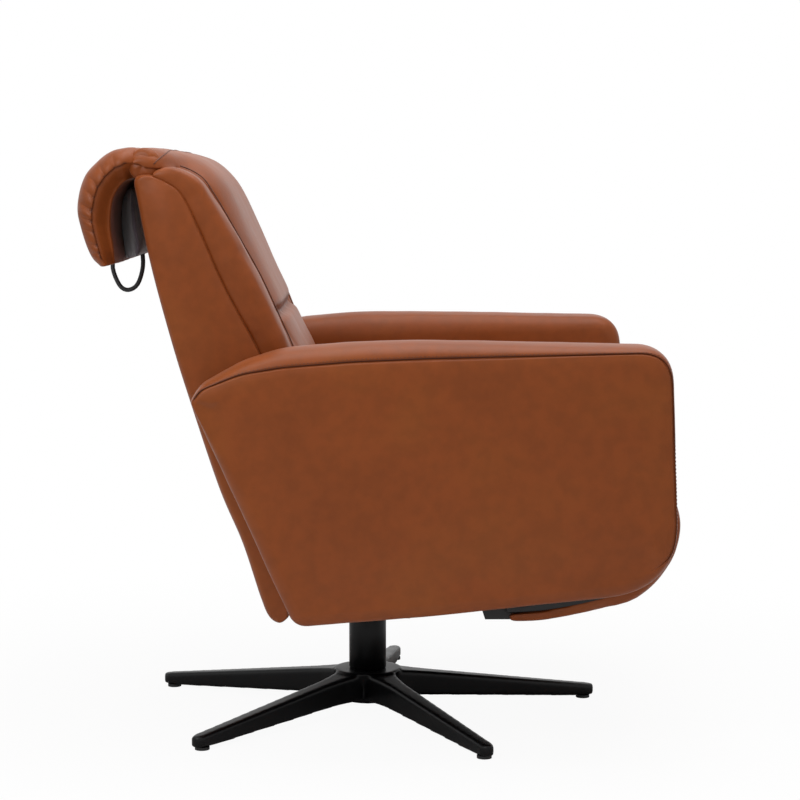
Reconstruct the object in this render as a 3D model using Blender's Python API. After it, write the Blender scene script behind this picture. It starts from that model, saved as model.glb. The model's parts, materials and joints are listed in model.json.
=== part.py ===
"""Power swivel recliner: a padded chair on a five-leg swivel base, with a reclining back,
a headrest that folds over the back and a footrest that swings out from under the seat.

Metres, +Z up, +X to the chair's front, +Y to the sitter's left, heights from the floor.
Lengths along X are measured from the swivel axis. SWIVEL_X sets that axis in the part's frame,
whose origin is on the floor under the middle of the chair.
"""
import math

import bmesh
import bpy
from mathutils import Matrix, Vector

# Clearances
GAP = 0.0003  # pieces that seat on each other
RUN = 0.0004  # shaft in its hole, on the radius
SWING = 0.0025  # a moving piece and what it passes
CUT_PAST = 0.010  # how far a cutter reaches past what it cuts

# Frame
SWIVEL_X = -0.0187

# Star base
LEG_COUNT = 5
LEG_TURN = math.radians(10.7)
LEG_REACH = 0.3567
LEG_ROOT_TOP = 0.0606
LEG_TIP_TOP = 0.0205
LEG_ROOT_LOW = 0.0205
LEG_TIP_LOW = 0.0045
LEG_ROOT_HALF = 0.0245
LEG_WAIST_HALF = 0.0145
LEG_WAIST_AT = 0.095
LEG_TIP_HALF = 0.0105
LEG_CHAMFER = 0.003
HUB_RADIUS = 0.040
HUB_TOP = 0.0625
HUB_LOW = 0.014
GLIDE_FROM_TIP = 0.0167
GLIDE_RING = LEG_REACH - GLIDE_FROM_TIP
GLIDE_RADIUS = 0.0105
GLIDE_MARGIN = 0.006
LEG_START = 0.012
LEG_TIP_TURNS = (0, 45, 72)

# Swivel column
COLUMN_RADIUS = 0.0283
COLUMN_WALL = 0.005
COLUMN_LENGTH = 0.1115
SPINDLE_RADIUS = 0.016
SPINDLE_FLANGE_RADIUS = 0.045
SPINDLE_FLANGE = 0.006
BUSH_LENGTH = 0.022
BUSH_FLOOR = 0.004
BUSH_RIM = 0.003
SCREW_RADIUS = 0.005
SCREW_GRIP = 0.026
SCREW_HEAD_RADIUS = 0.010
SCREW_HEAD = 0.006

# Seat frame
PLATE_HALF_X = 0.066
PLATE_HALF_Y = 0.095
PLATE_THICK = 0.008
MEMBER_WIDE = 0.030
MEMBER_TALL = 0.030
MEMBER_AT = 0.045
SIDE_PLATE = 0.005
SIDE_PLATE_REAR = -0.098
SIDE_PLATE_FRONT = 0.405
SIDE_PLATE_FOOT_FRONT = 0.130
SIDE_PLATE_FOOT_RISE = 0.016
SIDE_PLATE_ARM_LOW = 0.262
SIDE_PLATE_NOSE_LOW = 0.288
SIDE_PLATE_ROUND = 0.016
SEAT_BOARD_LOW = 0.386
SEAT_BOARD = 0.010
SEAT_REAR = -0.082
SEAT_FRONT = 0.408
SEAT_EDGE_HIGH = 0.447
SEAT_CROWN_HIGH = 0.470
SEAT_HALF = 0.2735
SEAT_TUCK = 0.018
SEAT_EDGE = 0.060
SEAT_NOSE_RADIUS = 0.030
SEAT_LIP = 0.0105
SEAT_LIP_DEEP = 0.024
SEAT_CROWN_LINE = ((0.12, 0.45), (0.32, 0.90), (0.60, 1.0), (0.85, 0.70), (0.97, 0.0))
RAIL_FRONT = 0.313
RAIL_THICK = 0.010
RAIL_LOW = 0.300

# Arms
ARM_SEAT_PLAY = 0.0065
ARM_WIDE = 0.094
ARM_INNER = SEAT_HALF + ARM_SEAT_PLAY
ARM_EDGE = ARM_INNER + ARM_WIDE
ARM_BULGE = 0.006
ARM_STEPS = 8
ARM_PANEL = ((0.93, 0.45), (0.78, 0.85), (0.55, 1.0))
ARM_CORNERS = (  # x, height of the seam, crown over it and radius
    (-0.2365, 0.5060, 0.0, 0.008), (-0.2235, 0.5245, 0.002, 0.03), (-0.1700, 0.5455, 0.0115, 0.12),
    (-0.1150, 0.5545, 0.0215, 0.2), (-0.0200, 0.5625, 0.0215, 0.6), (0.0800, 0.5668, 0.019, 0.8),
    (0.4065, 0.5745, 0.0045, 0.045), (0.4185, 0.2475, 0.0, 0.11), (-0.0980, 0.2035, 0.0, 0.025),
)
ARM_BOLT_RADIUS = 0.004
ARM_BOLT_GRIP = 0.028
ARM_BOLT_HEAD_RADIUS = 0.008
ARM_BOLT_HEAD = 0.005
ARM_BOLT_Z = 0.300
ARM_BOLTS_X = (0.020, 0.120)

# Back: side outline of the shell, from its measured rear line and front seam
BACK_SIDE_PLAY = 0.010
BACK_HALF = ARM_INNER - BACK_SIDE_PLAY
BACK_EDGE = 0.022
BACK_TUCK = 0.012
BACK_REAR = (
    (-0.3189, 0.7982), (-0.2905, 0.6533), (-0.2463, 0.4981), (-0.2062, 0.3755), (-0.1532, 0.2179),
)
BACK_FOOT = ((-0.1238, 0.1817), (-0.1060, 0.1950))
BACK_FRONT = (
    (-0.1010, 0.3000), (-0.0990, 0.4200), (-0.1140, 0.4900), (-0.1461, 0.5648), (-0.1932, 0.6538),
    (-0.2266, 0.7286), (-0.2513, 0.7808), (-0.2734, 0.7992),
)
BACK_TOP = (-0.3000, 0.8070)
RECLINE = math.radians(30)
BACK_PIVOT = (-0.075, 0.245)
BACK_SHAFT_RADIUS = 0.008
BOARD_LOW = (-0.118, 0.215)
BOARD_HIGH = (-0.270, 0.745)
BOARD_THICK = 0.012
BOARD_HALF = 0.200
WINDOW_HIGH = 0.085
BRACKET_AT = 0.170
BRACKET_THICK = 0.010
BRACKET_EYE = 0.016
BRACKET_FOOT = (0.008, 0.066)

# Back cushions, on the shell's front
BOLSTER_INNER = 0.2085
BOLSTER_THICK = 0.036
BOLSTER_TUCK = 0.009
BOLSTER_EDGE = 0.028
CUSHION_LOW = 0.486
CUSHION_SPLIT = 0.598
CUSHION_HALF = 0.2075
CUSHION_THICK = 0.056
LUMBAR_THICK = 0.060
CUSHION_TUCK = 0.021
CUSHION_EDGE = 0.075
PAD_SHOULDER = 0.25
CUSHION_TOP_REAR = (-0.2600, 0.8130)

# Back drive
LEVER_LENGTH = 0.090
LEVER_THICK = 0.008
LEVER_EYE = 0.015
LEVER_TIP = 0.009
PIN_RADIUS = 0.004
PIN_HALF = 0.0135
YOKE_HALF_Y = 0.0135
YOKE_HALF_Z = 0.013
YOKE_REACH = 0.010
YOKE_FORK = 0.015
YOKE_WEB = 0.007
YOKE_PLAY = 0.0007
ROD_RADIUS = 0.008
ROD_LENGTH = 0.095
TUBE_RADIUS = 0.018
TUBE_LENGTH = 0.190
TUBE_BORE = 0.100
TUBE_AT = 0.012
TUBE_WIRE_RADIUS = 0.002
TUBE_FOOT_HALF = 0.0108
MOTOR_RADIUS = 0.020
MOTOR_LENGTH = 0.080

# Headrest, folded over the back
HEADREST_PIVOT = (-0.305, 0.822)
HEADREST_SHORT = 0.002
HEADREST_HALF = BACK_HALF - HEADREST_SHORT
HEADREST_TUCK = 0.016
HEADREST_EDGE = 0.034
HEADREST_ROOT_DEPTH = 0.003
HEADREST_ROOT_TURN = 215
BARREL_RADIUS = 0.0225
BARREL_SHORT = 0.0205
BARREL_HALF = HEADREST_HALF - BARREL_SHORT
TROUGH_RADIUS = 0.0345
TROUGH_HALF = BARREL_HALF + SWING
HEADREST_OUTER = (
    (-0.3050, 0.8443), (-0.3300, 0.8443), (-0.3523, 0.8390), (-0.3710, 0.8265), (-0.3894, 0.8040),
    (-0.3997, 0.7654), (-0.3945, 0.7350), (-0.3813, 0.6966), (-0.3679, 0.6811), (-0.3544, 0.6801),
)
HEADREST_INNER = ((-0.3455, 0.6900), (-0.3530, 0.7400), (-0.3500, 0.7750), (-0.3370, 0.7960))
LINING_HALF = 0.200
LINING_FACE = ((-0.3270, 0.7780), (-0.3235, 0.7400), (-0.3185, 0.7050))
LINING_TUCK = 0.006
LINING_EDGE = 0.020
HINGE_AT = 0.120
HINGE_THICK = 0.006
HINGE_EYE = 0.010
HINGE_SHAFT_RADIUS = 0.005
LOOP_PATH = (
    (-0.3760, 0.6930), (-0.3800, 0.6700), (-0.3700, 0.6440), (-0.3570, 0.6370), (-0.3430, 0.6460),
    (-0.3350, 0.6720), (-0.3360, 0.7020),
)
LOOP_RADIUS = 0.0033

# Footrest, closed round the front lower corner of the seat
FOOTREST_PIVOT = (0.385, 0.315)
FOOTREST_HALF = 0.265
FOOTREST_TUCK = 0.012
FOOTREST_EDGE = 0.030
FOOTREST_THICK = 0.030
FOOTREST_BOARD = 0.008
FOOTREST_TIP_RISE = 0.006
FOOTREST_OUTER = (
    (0.4265, 0.3665), (0.4370, 0.3287), (0.4356, 0.3040), (0.4261, 0.2728), (0.4057, 0.2388),
    (0.3713, 0.2158), (0.3317, 0.2048), (0.2872, 0.1948), (0.2426, 0.1879), (0.2050, 0.1850),
)
FOOTREST_TUBE_RADIUS = 0.0155
FOOTREST_MOTOR_RADIUS = 0.0115
FOOTREST_MOTOR_LENGTH = 0.170
FOOTREST_PIN_LENGTH = 0.070
FOOTREST_ARM_AT = 0.225
FOOTREST_ARM_THICK = 0.008
FOOTREST_ARM_EYE = 0.019
FOOTREST_ARM_SHORT = 4  # outline points that the arms stop short of the board's end
FOOT_BRACKET_REAR = 0.166
FOOT_BRACKET_LOW = 0.1865
FOOT_BRACKET_HIGH = 0.2140
FOOT_BRACKET_HALF = 0.030
FOOT_BRACKET_SLANT = 0.009

# Controls
PANEL_X = 0.240
PANEL_Z = 0.515
PANEL_HALF_X = 0.052
PANEL_HALF_Z = 0.014
PANEL_THICK = 0.008
BUTTON_COUNT = 4
BUTTON_PITCH = 0.024
BUTTON_RADIUS = 0.008
BUTTON_PROUD = 0.0018
BUTTON_TRAVEL = 0.0015
BUTTON_EDGE = 0.0009
BOX_X = (0.140, 0.250)
BOX_Y = (0.110, 0.185)
BOX_TALL = 0.032
INLET_HALF_Y = 0.012
INLET_HALF_Z = 0.0096
INLET_WALL = 0.0034
INLET_LONG = 0.014
INLET_DEEP = 0.010

ROUND = 24  # sides of a turned piece

# Finishes: colour, roughness, metallic
LEATHER = ((0.190, 0.055, 0.018), 0.42, 0.0)
LINING = ((0.060, 0.050, 0.056), 0.85, 0.0)
BLACK_METAL = ((0.006, 0.006, 0.007), 0.42, 0.6)
STEEL = ((0.42, 0.42, 0.43), 0.35, 1.0)
BLACK_PLASTIC = ((0.010, 0.010, 0.011), 0.50, 0.0)
NYLON = ((0.55, 0.54, 0.50), 0.55, 0.0)
RUBBER = ((0.012, 0.012, 0.013), 0.65, 0.0)
PLYWOOD = ((0.46, 0.32, 0.19), 0.70, 0.0)


def clear_scene():
    for obj in list(bpy.data.objects):
        bpy.data.objects.remove(obj, do_unlink=True)


# Outlines in the chair's side plane, as (x, z)

def arc(centre, radius, start, end, steps):
    """Points on a circle from start to end, in degrees from +X towards +Z."""
    points = []
    for i in range(steps + 1):
        angle = math.radians(start + (end - start) * i / steps)
        points.append((centre[0] + radius * math.cos(angle), centre[1] + radius * math.sin(angle)))
    return points


def rounded(corners, steps=6):
    """A closed outline whose corners (x, z, radius) are rounded by arcs."""
    points = []
    for i, (x, z, radius) in enumerate(corners):
        here = Vector((x, z))
        before = (Vector(corners[i - 1][:2]) - here)
        after = (Vector(corners[(i + 1) % len(corners)][:2]) - here)
        half = before.angle(after) / 2
        reach = min(radius / math.tan(half), 0.48 * before.length, 0.48 * after.length)
        start = here + before.normalized() * reach
        end = here + after.normalized() * reach
        for k in range(steps + 1):
            t = k / steps
            points.append(tuple(start * (1 - t) ** 2 + here * 2 * t * (1 - t) + end * t ** 2))
    return points


def smooth(points, steps=3):
    """A curve through the points, with the given number of steps between two of them."""
    spots = [Vector(p) for p in points]
    spots = [2 * spots[0] - spots[1]] + spots + [2 * spots[-1] - spots[-2]]
    curve = []
    for a, b, c, d in zip(spots, spots[1:], spots[2:], spots[3:]):
        for k in range(steps):
            t = k / steps
            curve.append(0.5 * (2 * b + (c - a) * t + (2 * a - 5 * b + 4 * c - d) * t ** 2
                                + (3 * b - a - 3 * c + d) * t ** 3))
    curve.append(spots[-2])
    return [tuple(p) for p in curve]


def offset(curve, distance):
    """The open curve moved to the left of its own direction."""
    moved = []
    for i, point in enumerate(curve):
        ahead = Vector(curve[min(i + 1, len(curve) - 1)])
        behind = Vector(curve[max(i - 1, 0)])
        along = (ahead - behind).normalized()
        moved.append((point[0] - along.y * distance, point[1] + along.x * distance))
    return moved


def weighted(points, weight):
    return [(x, z, weight) for x, z in points]


def outward(outline):
    """Unit normals of a closed outline, pointing out of it."""
    area = 0.0
    for (x0, z0, *_), (x1, z1, *_) in zip(outline, outline[1:] + outline[:1]):
        area += x0 * z1 - x1 * z0
    side = 1 if area > 0 else -1
    normals = []
    for i in range(len(outline)):
        ahead = Vector(outline[(i + 1) % len(outline)][:2])
        behind = Vector(outline[i - 1][:2])
        along = (ahead - behind).normalized()
        normals.append(Vector((along.y, -along.x)) * side)
    return normals


# Solids

def skin(rings):
    """A closed solid through rings of equal counts, with flat ends."""
    bm = bmesh.new()
    loops = [[bm.verts.new(p) for p in section] for section in rings]
    for first, second in zip(loops, loops[1:]):
        for i in range(len(first)):
            j = (i + 1) % len(first)
            bm.faces.new((first[i], first[j], second[j], second[i]))
    bm.faces.new(loops[0])
    bm.faces.new(loops[-1])
    bmesh.ops.recalc_face_normals(bm, faces=bm.faces)
    return bm


def prism(outline, y0, y1):
    return skin([[(x, y, z) for x, z in outline] for y in (y0, y1)])


def box(low, high):
    bm = bmesh.new()
    size = Vector(high) - Vector(low)
    middle = (Vector(high) + Vector(low)) / 2
    place = Matrix.Translation(middle) @ Matrix.Diagonal(size).to_4x4()
    bmesh.ops.create_cube(bm, size=1.0, matrix=place)
    return bm


def turned(profile, centre, along="Z"):
    """A closed profile of (radius, height) spun about an axis through centre.
    A profile that starts and ends at radius 0 makes a solid, any other a ring."""
    solid = profile[0][0] == 0 and profile[-1][0] == 0
    rings = []
    for r, h in profile:
        circle = []
        for i in range(ROUND):
            angle = 2 * math.pi * (i + 0.5) / ROUND
            u, v = r * math.cos(angle), r * math.sin(angle)
            circle.append({"Z": (u, v, h), "Y": (u, h, v), "X": (h, u, v)}[along])
        rings.append([Vector(p) + Vector(centre) for p in circle])
    if solid:
        return skin(rings[1:-1])
    bm = bmesh.new()
    loops = [[bm.verts.new(p) for p in circle] for circle in rings]
    for first, second in zip(loops, loops[1:] + loops[:1]):
        for i in range(ROUND):
            j = (i + 1) % ROUND
            bm.faces.new((first[i], first[j], second[j], second[i]))
    bmesh.ops.recalc_face_normals(bm, faces=bm.faces)
    return bm


def rod(radius, start, end, centre, along="Y"):
    """A plain round bar between two heights on its axis."""
    return turned([(0, start), (radius, start), (radius, end), (0, end)], centre, along)


def ring(inner, outer, start, end, centre, along="Z"):
    return turned([(inner, start), (outer, start), (outer, end), (inner, end)], centre, along)


def soft(outline, y0, y1, tuck, edge):
    """A padded solid: the outline (x, z, weight) across the width, drawn in towards both ends.
    Points of weight 0 rest on something and aren't drawn in."""
    normals = outward(outline)
    rise = (0.0, 0.12, 0.35, 0.65, 1.0)
    spots = [(y0 + edge * f, f) for f in rise] + [(y1 - edge * f, f) for f in reversed(rise)]
    rings = []
    for y, f in spots:
        inset = tuck * (1 - math.sqrt(1 - (1 - f) ** 2))
        rings.append([(x - n.x * w * inset, y, z - n.y * w * inset)
                      for (x, z, w), n in zip(outline, normals)])
    return skin(rings)


def tube_along(path, radius, sides=10):
    """A round tube on a path in the plane y = 0."""
    rings = []
    for i, point in enumerate(path):
        ahead = Vector(path[min(i + 1, len(path) - 1)])
        behind = Vector(path[max(i - 1, 0)])
        along = (ahead - behind).normalized()
        across = Vector((-along.y, 0, along.x))
        centre = Vector((point[0], 0, point[1]))
        rings.append([centre + radius * (across * math.cos(2 * math.pi * k / sides)
                                         + Vector((0, 1, 0)) * math.sin(2 * math.pi * k / sides))
                      for k in range(sides)])
    return skin(rings)


# Objects

def pivot(name, x, z, parent=None, y=0.0):
    """An empty on a joint's axis. Its place is in the chair's own x from the swivel axis."""
    empty = bpy.data.objects.new(name, None)
    bpy.context.scene.collection.objects.link(empty)
    place = Vector((x, y, z))
    empty["place"] = place
    if parent is None:
        empty.location = place + Vector((SWIVEL_X, 0, 0))
    else:
        empty.parent = parent
        empty.location = place - Vector(parent["place"])
    return empty


def piece(name, bm, mount, finish, angle=35):
    """One named sub-part, carried by the empty of the body that it belongs to."""
    mesh = bpy.data.meshes.new(name)
    bmesh.ops.translate(bm, verts=bm.verts, vec=-Vector(mount["place"]))
    bm.to_mesh(mesh)
    bm.free()
    mesh.shade_smooth()
    mesh.set_sharp_from_angle(angle=math.radians(angle))
    obj = bpy.data.objects.new(name, mesh)
    bpy.context.scene.collection.objects.link(obj)
    obj.parent = mount
    colour, roughness, metallic = finish
    material = bpy.data.materials.new(name)
    material.use_nodes = True
    shader = material.node_tree.nodes["Principled BSDF"]
    shader.inputs["Base Color"].default_value = (*colour, 1)
    shader.inputs["Roughness"].default_value = roughness
    shader.inputs["Metallic"].default_value = metallic
    mesh.materials.append(material)
    return obj


def combine(obj, bm, mount, operation="DIFFERENCE"):
    """Cut a hidden shape out of a piece, or join it on."""
    mesh = bpy.data.meshes.new(obj.name + "_tool")
    bmesh.ops.translate(bm, verts=bm.verts, vec=-Vector(mount["place"]))
    bm.to_mesh(mesh)
    bm.free()
    tool = bpy.data.objects.new(mesh.name, mesh)
    bpy.context.scene.collection.objects.link(tool)
    tool.parent = mount
    tool.hide_render = True
    tool.display_type = "WIRE"
    modifier = obj.modifiers.new(operation.title(), "BOOLEAN")
    modifier.operation = operation
    modifier.solver = "EXACT"
    modifier.object = tool


# Star base

def leg_rings(angle):
    """Cross-sections of one tapered leg, from inside the hub to its rounded tip."""
    flat_from = GLIDE_RING - GLIDE_RADIUS - GLIDE_MARGIN
    stops = [
        (LEG_START, LEG_ROOT_HALF), (HUB_RADIUS, LEG_ROOT_HALF),
        ((HUB_RADIUS + LEG_WAIST_AT) / 2, (LEG_ROOT_HALF + 2 * LEG_WAIST_HALF) / 3),
        (LEG_WAIST_AT, LEG_WAIST_HALF), (flat_from, LEG_TIP_HALF),
    ]
    for degrees in LEG_TIP_TURNS:
        around = math.radians(degrees)
        back_from_tip = LEG_TIP_HALF * (1 - math.sin(around))
        stops.append((LEG_REACH - back_from_tip, LEG_TIP_HALF * math.cos(around)))
    turn = Matrix.Rotation(angle, 4, "Z")
    rings = []
    for r, half in stops:
        out = max(0.0, (r - HUB_RADIUS) / (LEG_REACH - HUB_RADIUS))
        down = min(1.0, max(0.0, (r - HUB_RADIUS) / (flat_from - HUB_RADIUS)))
        top = LEG_ROOT_TOP + (LEG_TIP_TOP - LEG_ROOT_TOP) * out
        low = LEG_ROOT_LOW + (LEG_TIP_LOW - LEG_ROOT_LOW) * down
        cut = min(LEG_CHAMFER, half / 2)
        section = ((half, low), (half, top - cut), (half - cut, top),
                   (-half + cut, top), (-half, top - cut), (-half, low))
        rings.append([turn @ Vector((r, y, z)) for y, z in section])
    return rings


def build_base(root):
    star = piece("base_star", rod(HUB_RADIUS, HUB_LOW, HUB_TOP, (0, 0, 0), "Z"), root, BLACK_METAL)
    for i in range(LEG_COUNT):
        angle = LEG_TURN + 2 * math.pi * i / LEG_COUNT
        combine(star, skin(leg_rings(angle)), root, "UNION")
        foot = (GLIDE_RING * math.cos(angle), GLIDE_RING * math.sin(angle), 0)
        piece(f"glide_{i + 1}", rod(GLIDE_RADIUS, 0, LEG_TIP_LOW - GAP, foot, "Z"), root, BLACK_PLASTIC)
    bore = rod(SCREW_RADIUS + RUN, HUB_LOW - CUT_PAST, HUB_TOP + CUT_PAST, (0, 0, 0), "Z")
    combine(star, bore, root)

    foot = HUB_TOP + GAP
    top = foot + COLUMN_LENGTH
    bore = COLUMN_RADIUS - COLUMN_WALL
    piece("column_tube", ring(bore, COLUMN_RADIUS, foot, top, (0, 0, 0)), root, BLACK_METAL)
    inner = SPINDLE_RADIUS + RUN
    hole = SCREW_RADIUS + RUN
    cup = [(hole, foot), (bore - GAP, foot), (bore - GAP, foot + BUSH_LENGTH), (inner, foot + BUSH_LENGTH),
           (inner, foot + BUSH_FLOOR), (hole, foot + BUSH_FLOOR)]
    piece("lower_bush", turned(cup, (0, 0, 0)), root, NYLON)
    rim = top + GAP
    sleeve = [(inner, rim - BUSH_LENGTH), (bore - GAP, rim - BUSH_LENGTH), (bore - GAP, rim),
              (COLUMN_RADIUS, rim), (COLUMN_RADIUS, rim + BUSH_RIM), (inner, rim + BUSH_RIM)]
    piece("upper_bush", turned(sleeve, (0, 0, 0)), root, NYLON)


# Heights that stack up from the column
SPINDLE_LOW = HUB_TOP + GAP + BUSH_FLOOR + GAP
FLANGE_LOW = HUB_TOP + GAP + COLUMN_LENGTH + GAP + BUSH_RIM + GAP
PLATE_LOW = FLANGE_LOW + SPINDLE_FLANGE + GAP
MEMBER_LOW = PLATE_LOW + PLATE_THICK + GAP
MEMBER_TOP = MEMBER_LOW + MEMBER_TALL
SEAT_LOW = SEAT_BOARD_LOW + SEAT_BOARD + GAP
SIDE_OUTER = ARM_INNER - GAP
SIDE_INNER = SIDE_OUTER - SIDE_PLATE
LEVER_HALF_SWEEP = RECLINE / 2
ACTUATOR_Z = BACK_PIVOT[1] + LEVER_LENGTH * (1 + math.cos(LEVER_HALF_SWEEP)) / 2
PIN_X = BACK_PIVOT[0] + LEVER_LENGTH * math.sin(LEVER_HALF_SWEEP)
PIN_Z = BACK_PIVOT[1] + LEVER_LENGTH * math.cos(LEVER_HALF_SWEEP)


def build_swivel(seat):
    hole = SCREW_RADIUS + GAP
    post = [(hole, SPINDLE_LOW), (SPINDLE_RADIUS, SPINDLE_LOW), (SPINDLE_RADIUS, FLANGE_LOW),
            (SPINDLE_FLANGE_RADIUS, FLANGE_LOW), (SPINDLE_FLANGE_RADIUS, FLANGE_LOW + SPINDLE_FLANGE),
            (hole, FLANGE_LOW + SPINDLE_FLANGE)]
    piece("swivel_spindle", turned(post, (0, 0, 0)), seat, STEEL)
    head_top = HUB_LOW - GAP
    screw = [(0, head_top - SCREW_HEAD), (SCREW_HEAD_RADIUS, head_top - SCREW_HEAD),
             (SCREW_HEAD_RADIUS, head_top), (SCREW_RADIUS, head_top),
             (SCREW_RADIUS, SPINDLE_LOW + SCREW_GRIP), (0, SPINDLE_LOW + SCREW_GRIP)]
    piece("spindle_screw", turned(screw, (0, 0, 0)), seat, STEEL)
    low = (-PLATE_HALF_X, -PLATE_HALF_Y, PLATE_LOW)
    high = (PLATE_HALF_X, PLATE_HALF_Y, PLATE_LOW + PLATE_THICK)
    piece("swivel_plate", box(low, high), seat, BLACK_METAL)


def build_seat_frame(seat):
    for name, x in (("front", MEMBER_AT), ("rear", -MEMBER_AT)):
        low = (x - MEMBER_WIDE / 2, GAP - SIDE_INNER, MEMBER_LOW)
        high = (x + MEMBER_WIDE / 2, SIDE_INNER - GAP, MEMBER_TOP)
        piece(f"cross_member_{name}", box(low, high), seat, BLACK_METAL)
    top = SEAT_BOARD_LOW - GAP
    corners = (
        (SIDE_PLATE_REAR, MEMBER_LOW), (SIDE_PLATE_FOOT_FRONT, MEMBER_LOW + SIDE_PLATE_FOOT_RISE),
        (SIDE_PLATE_FOOT_FRONT + MEMBER_TALL, SIDE_PLATE_ARM_LOW),
        (SIDE_PLATE_FRONT, SIDE_PLATE_NOSE_LOW), (SIDE_PLATE_FRONT, top),
        (SEAT_REAR + MEMBER_WIDE, top), (SIDE_PLATE_REAR, BACK_PIVOT[1] + MEMBER_WIDE),
    )
    outline = rounded(weighted(corners, SIDE_PLATE_ROUND), 3)
    holes = [(BACK_PIVOT, BACK_SHAFT_RADIUS + RUN)]
    holes += [((x, ARM_BOLT_Z), ARM_BOLT_RADIUS + GAP) for x in ARM_BOLTS_X]
    for name, side in (("left", 1), ("right", -1)):
        solid = prism(outline, side * SIDE_INNER, side * SIDE_OUTER)
        plate = piece(f"side_plate_{name}", solid, seat, BLACK_METAL)
        start, end = sorted((side * (SIDE_INNER - CUT_PAST), side * (SIDE_OUTER + CUT_PAST)))
        for (x, z), radius in holes:
            combine(plate, rod(radius, start, end, (x, 0, z)), seat)
    low = (SEAT_REAR, GAP - ARM_INNER, SEAT_BOARD_LOW)
    high = (SEAT_FRONT - SEAT_LIP_DEEP - GAP, ARM_INNER - GAP, SEAT_BOARD_LOW + SEAT_BOARD)
    piece("seat_board", box(low, high), seat, PLYWOOD)
    low = (RAIL_FRONT - RAIL_THICK, GAP - SIDE_INNER, RAIL_LOW)
    piece("front_rail", box(low, (RAIL_FRONT, SIDE_INNER - GAP, top)), seat, LEATHER)


def build_seat_cushion(seat):
    lip = SEAT_FRONT - SEAT_LIP_DEEP
    rest = [(SEAT_REAR, SEAT_LOW), (lip, SEAT_LOW), (lip, SEAT_LOW - SEAT_LIP)]
    nose = arc((SEAT_FRONT - SEAT_LIP, SEAT_LOW), SEAT_LIP, -80, 0, 3)
    radius = SEAT_NOSE_RADIUS
    nose += arc((SEAT_FRONT - radius, SEAT_EDGE_HIGH - radius), radius, 0, 65, 4)
    length = SEAT_FRONT - SEAT_REAR
    rise = SEAT_CROWN_HIGH - SEAT_EDGE_HIGH
    crown = [(SEAT_FRONT - back * length, SEAT_EDGE_HIGH + up * rise) for back, up in SEAT_CROWN_LINE]
    top = smooth(crown, 3)
    rear = [(SEAT_REAR, SEAT_EDGE_HIGH - SEAT_LIP)]
    outline = weighted(rest, 0) + weighted(nose + top, 1) + weighted(rear, 0.3)
    cushion = soft(outline, -SEAT_HALF, SEAT_HALF, SEAT_TUCK, SEAT_EDGE)
    piece("seat_cushion", cushion, seat, LEATHER, 60)


# Arms

def arm_outline(crown):
    """Side outline of an arm, with its top raised by a share of the crown."""
    return rounded([(x, z + crown * rise, radius) for x, z, rise, radius in ARM_CORNERS])


def arm_rings(side):
    """The arm from its flat inner face over the crowned top to the bulged outer panel."""
    half = (ARM_EDGE - ARM_INNER) / 2
    middle = ARM_INNER + half
    rings = []
    for i in range(ARM_STEPS + 1):
        lean = math.pi * (i / ARM_STEPS - 0.5)
        y = side * (middle + half * math.sin(lean))
        rings.append([(x, y, z) for x, z in arm_outline(math.cos(lean))])
    edge = arm_outline(0)
    cx = sum(x for x, z in edge) / len(edge)
    cz = sum(z for x, z in edge) / len(edge)
    for scale, rise in ARM_PANEL:
        y = side * (ARM_EDGE + ARM_BULGE * rise)
        rings.append([(cx + (x - cx) * scale, y, cz + (z - cz) * scale) for x, z in edge])
    return rings


def build_arms(seat):
    for name, side in (("left", 1), ("right", -1)):
        arm = piece(f"arm_{name}", skin(arm_rings(side)), seat, LEATHER, 60)
        for place, x in zip(("rear", "front"), ARM_BOLTS_X):
            axis = (x, 0, ARM_BOLT_Z)
            end = side * (ARM_INNER + ARM_BOLT_GRIP)
            head = side * (SIDE_INNER - GAP)
            tip = end + side * GAP
            combine(arm, rod(ARM_BOLT_RADIUS + GAP, min(head, tip), max(head, tip), axis), seat)
            crown = head - side * ARM_BOLT_HEAD
            bolt = [(0, crown), (ARM_BOLT_HEAD_RADIUS, crown), (ARM_BOLT_HEAD_RADIUS, head),
                    (ARM_BOLT_RADIUS, head), (ARM_BOLT_RADIUS, end), (0, end)]
            piece(f"arm_bolt_{name}_{place}", turned(bolt, axis, "Y"), seat, STEEL)


# Controls on the inner face of the right arm, and the power box under the seat

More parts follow.
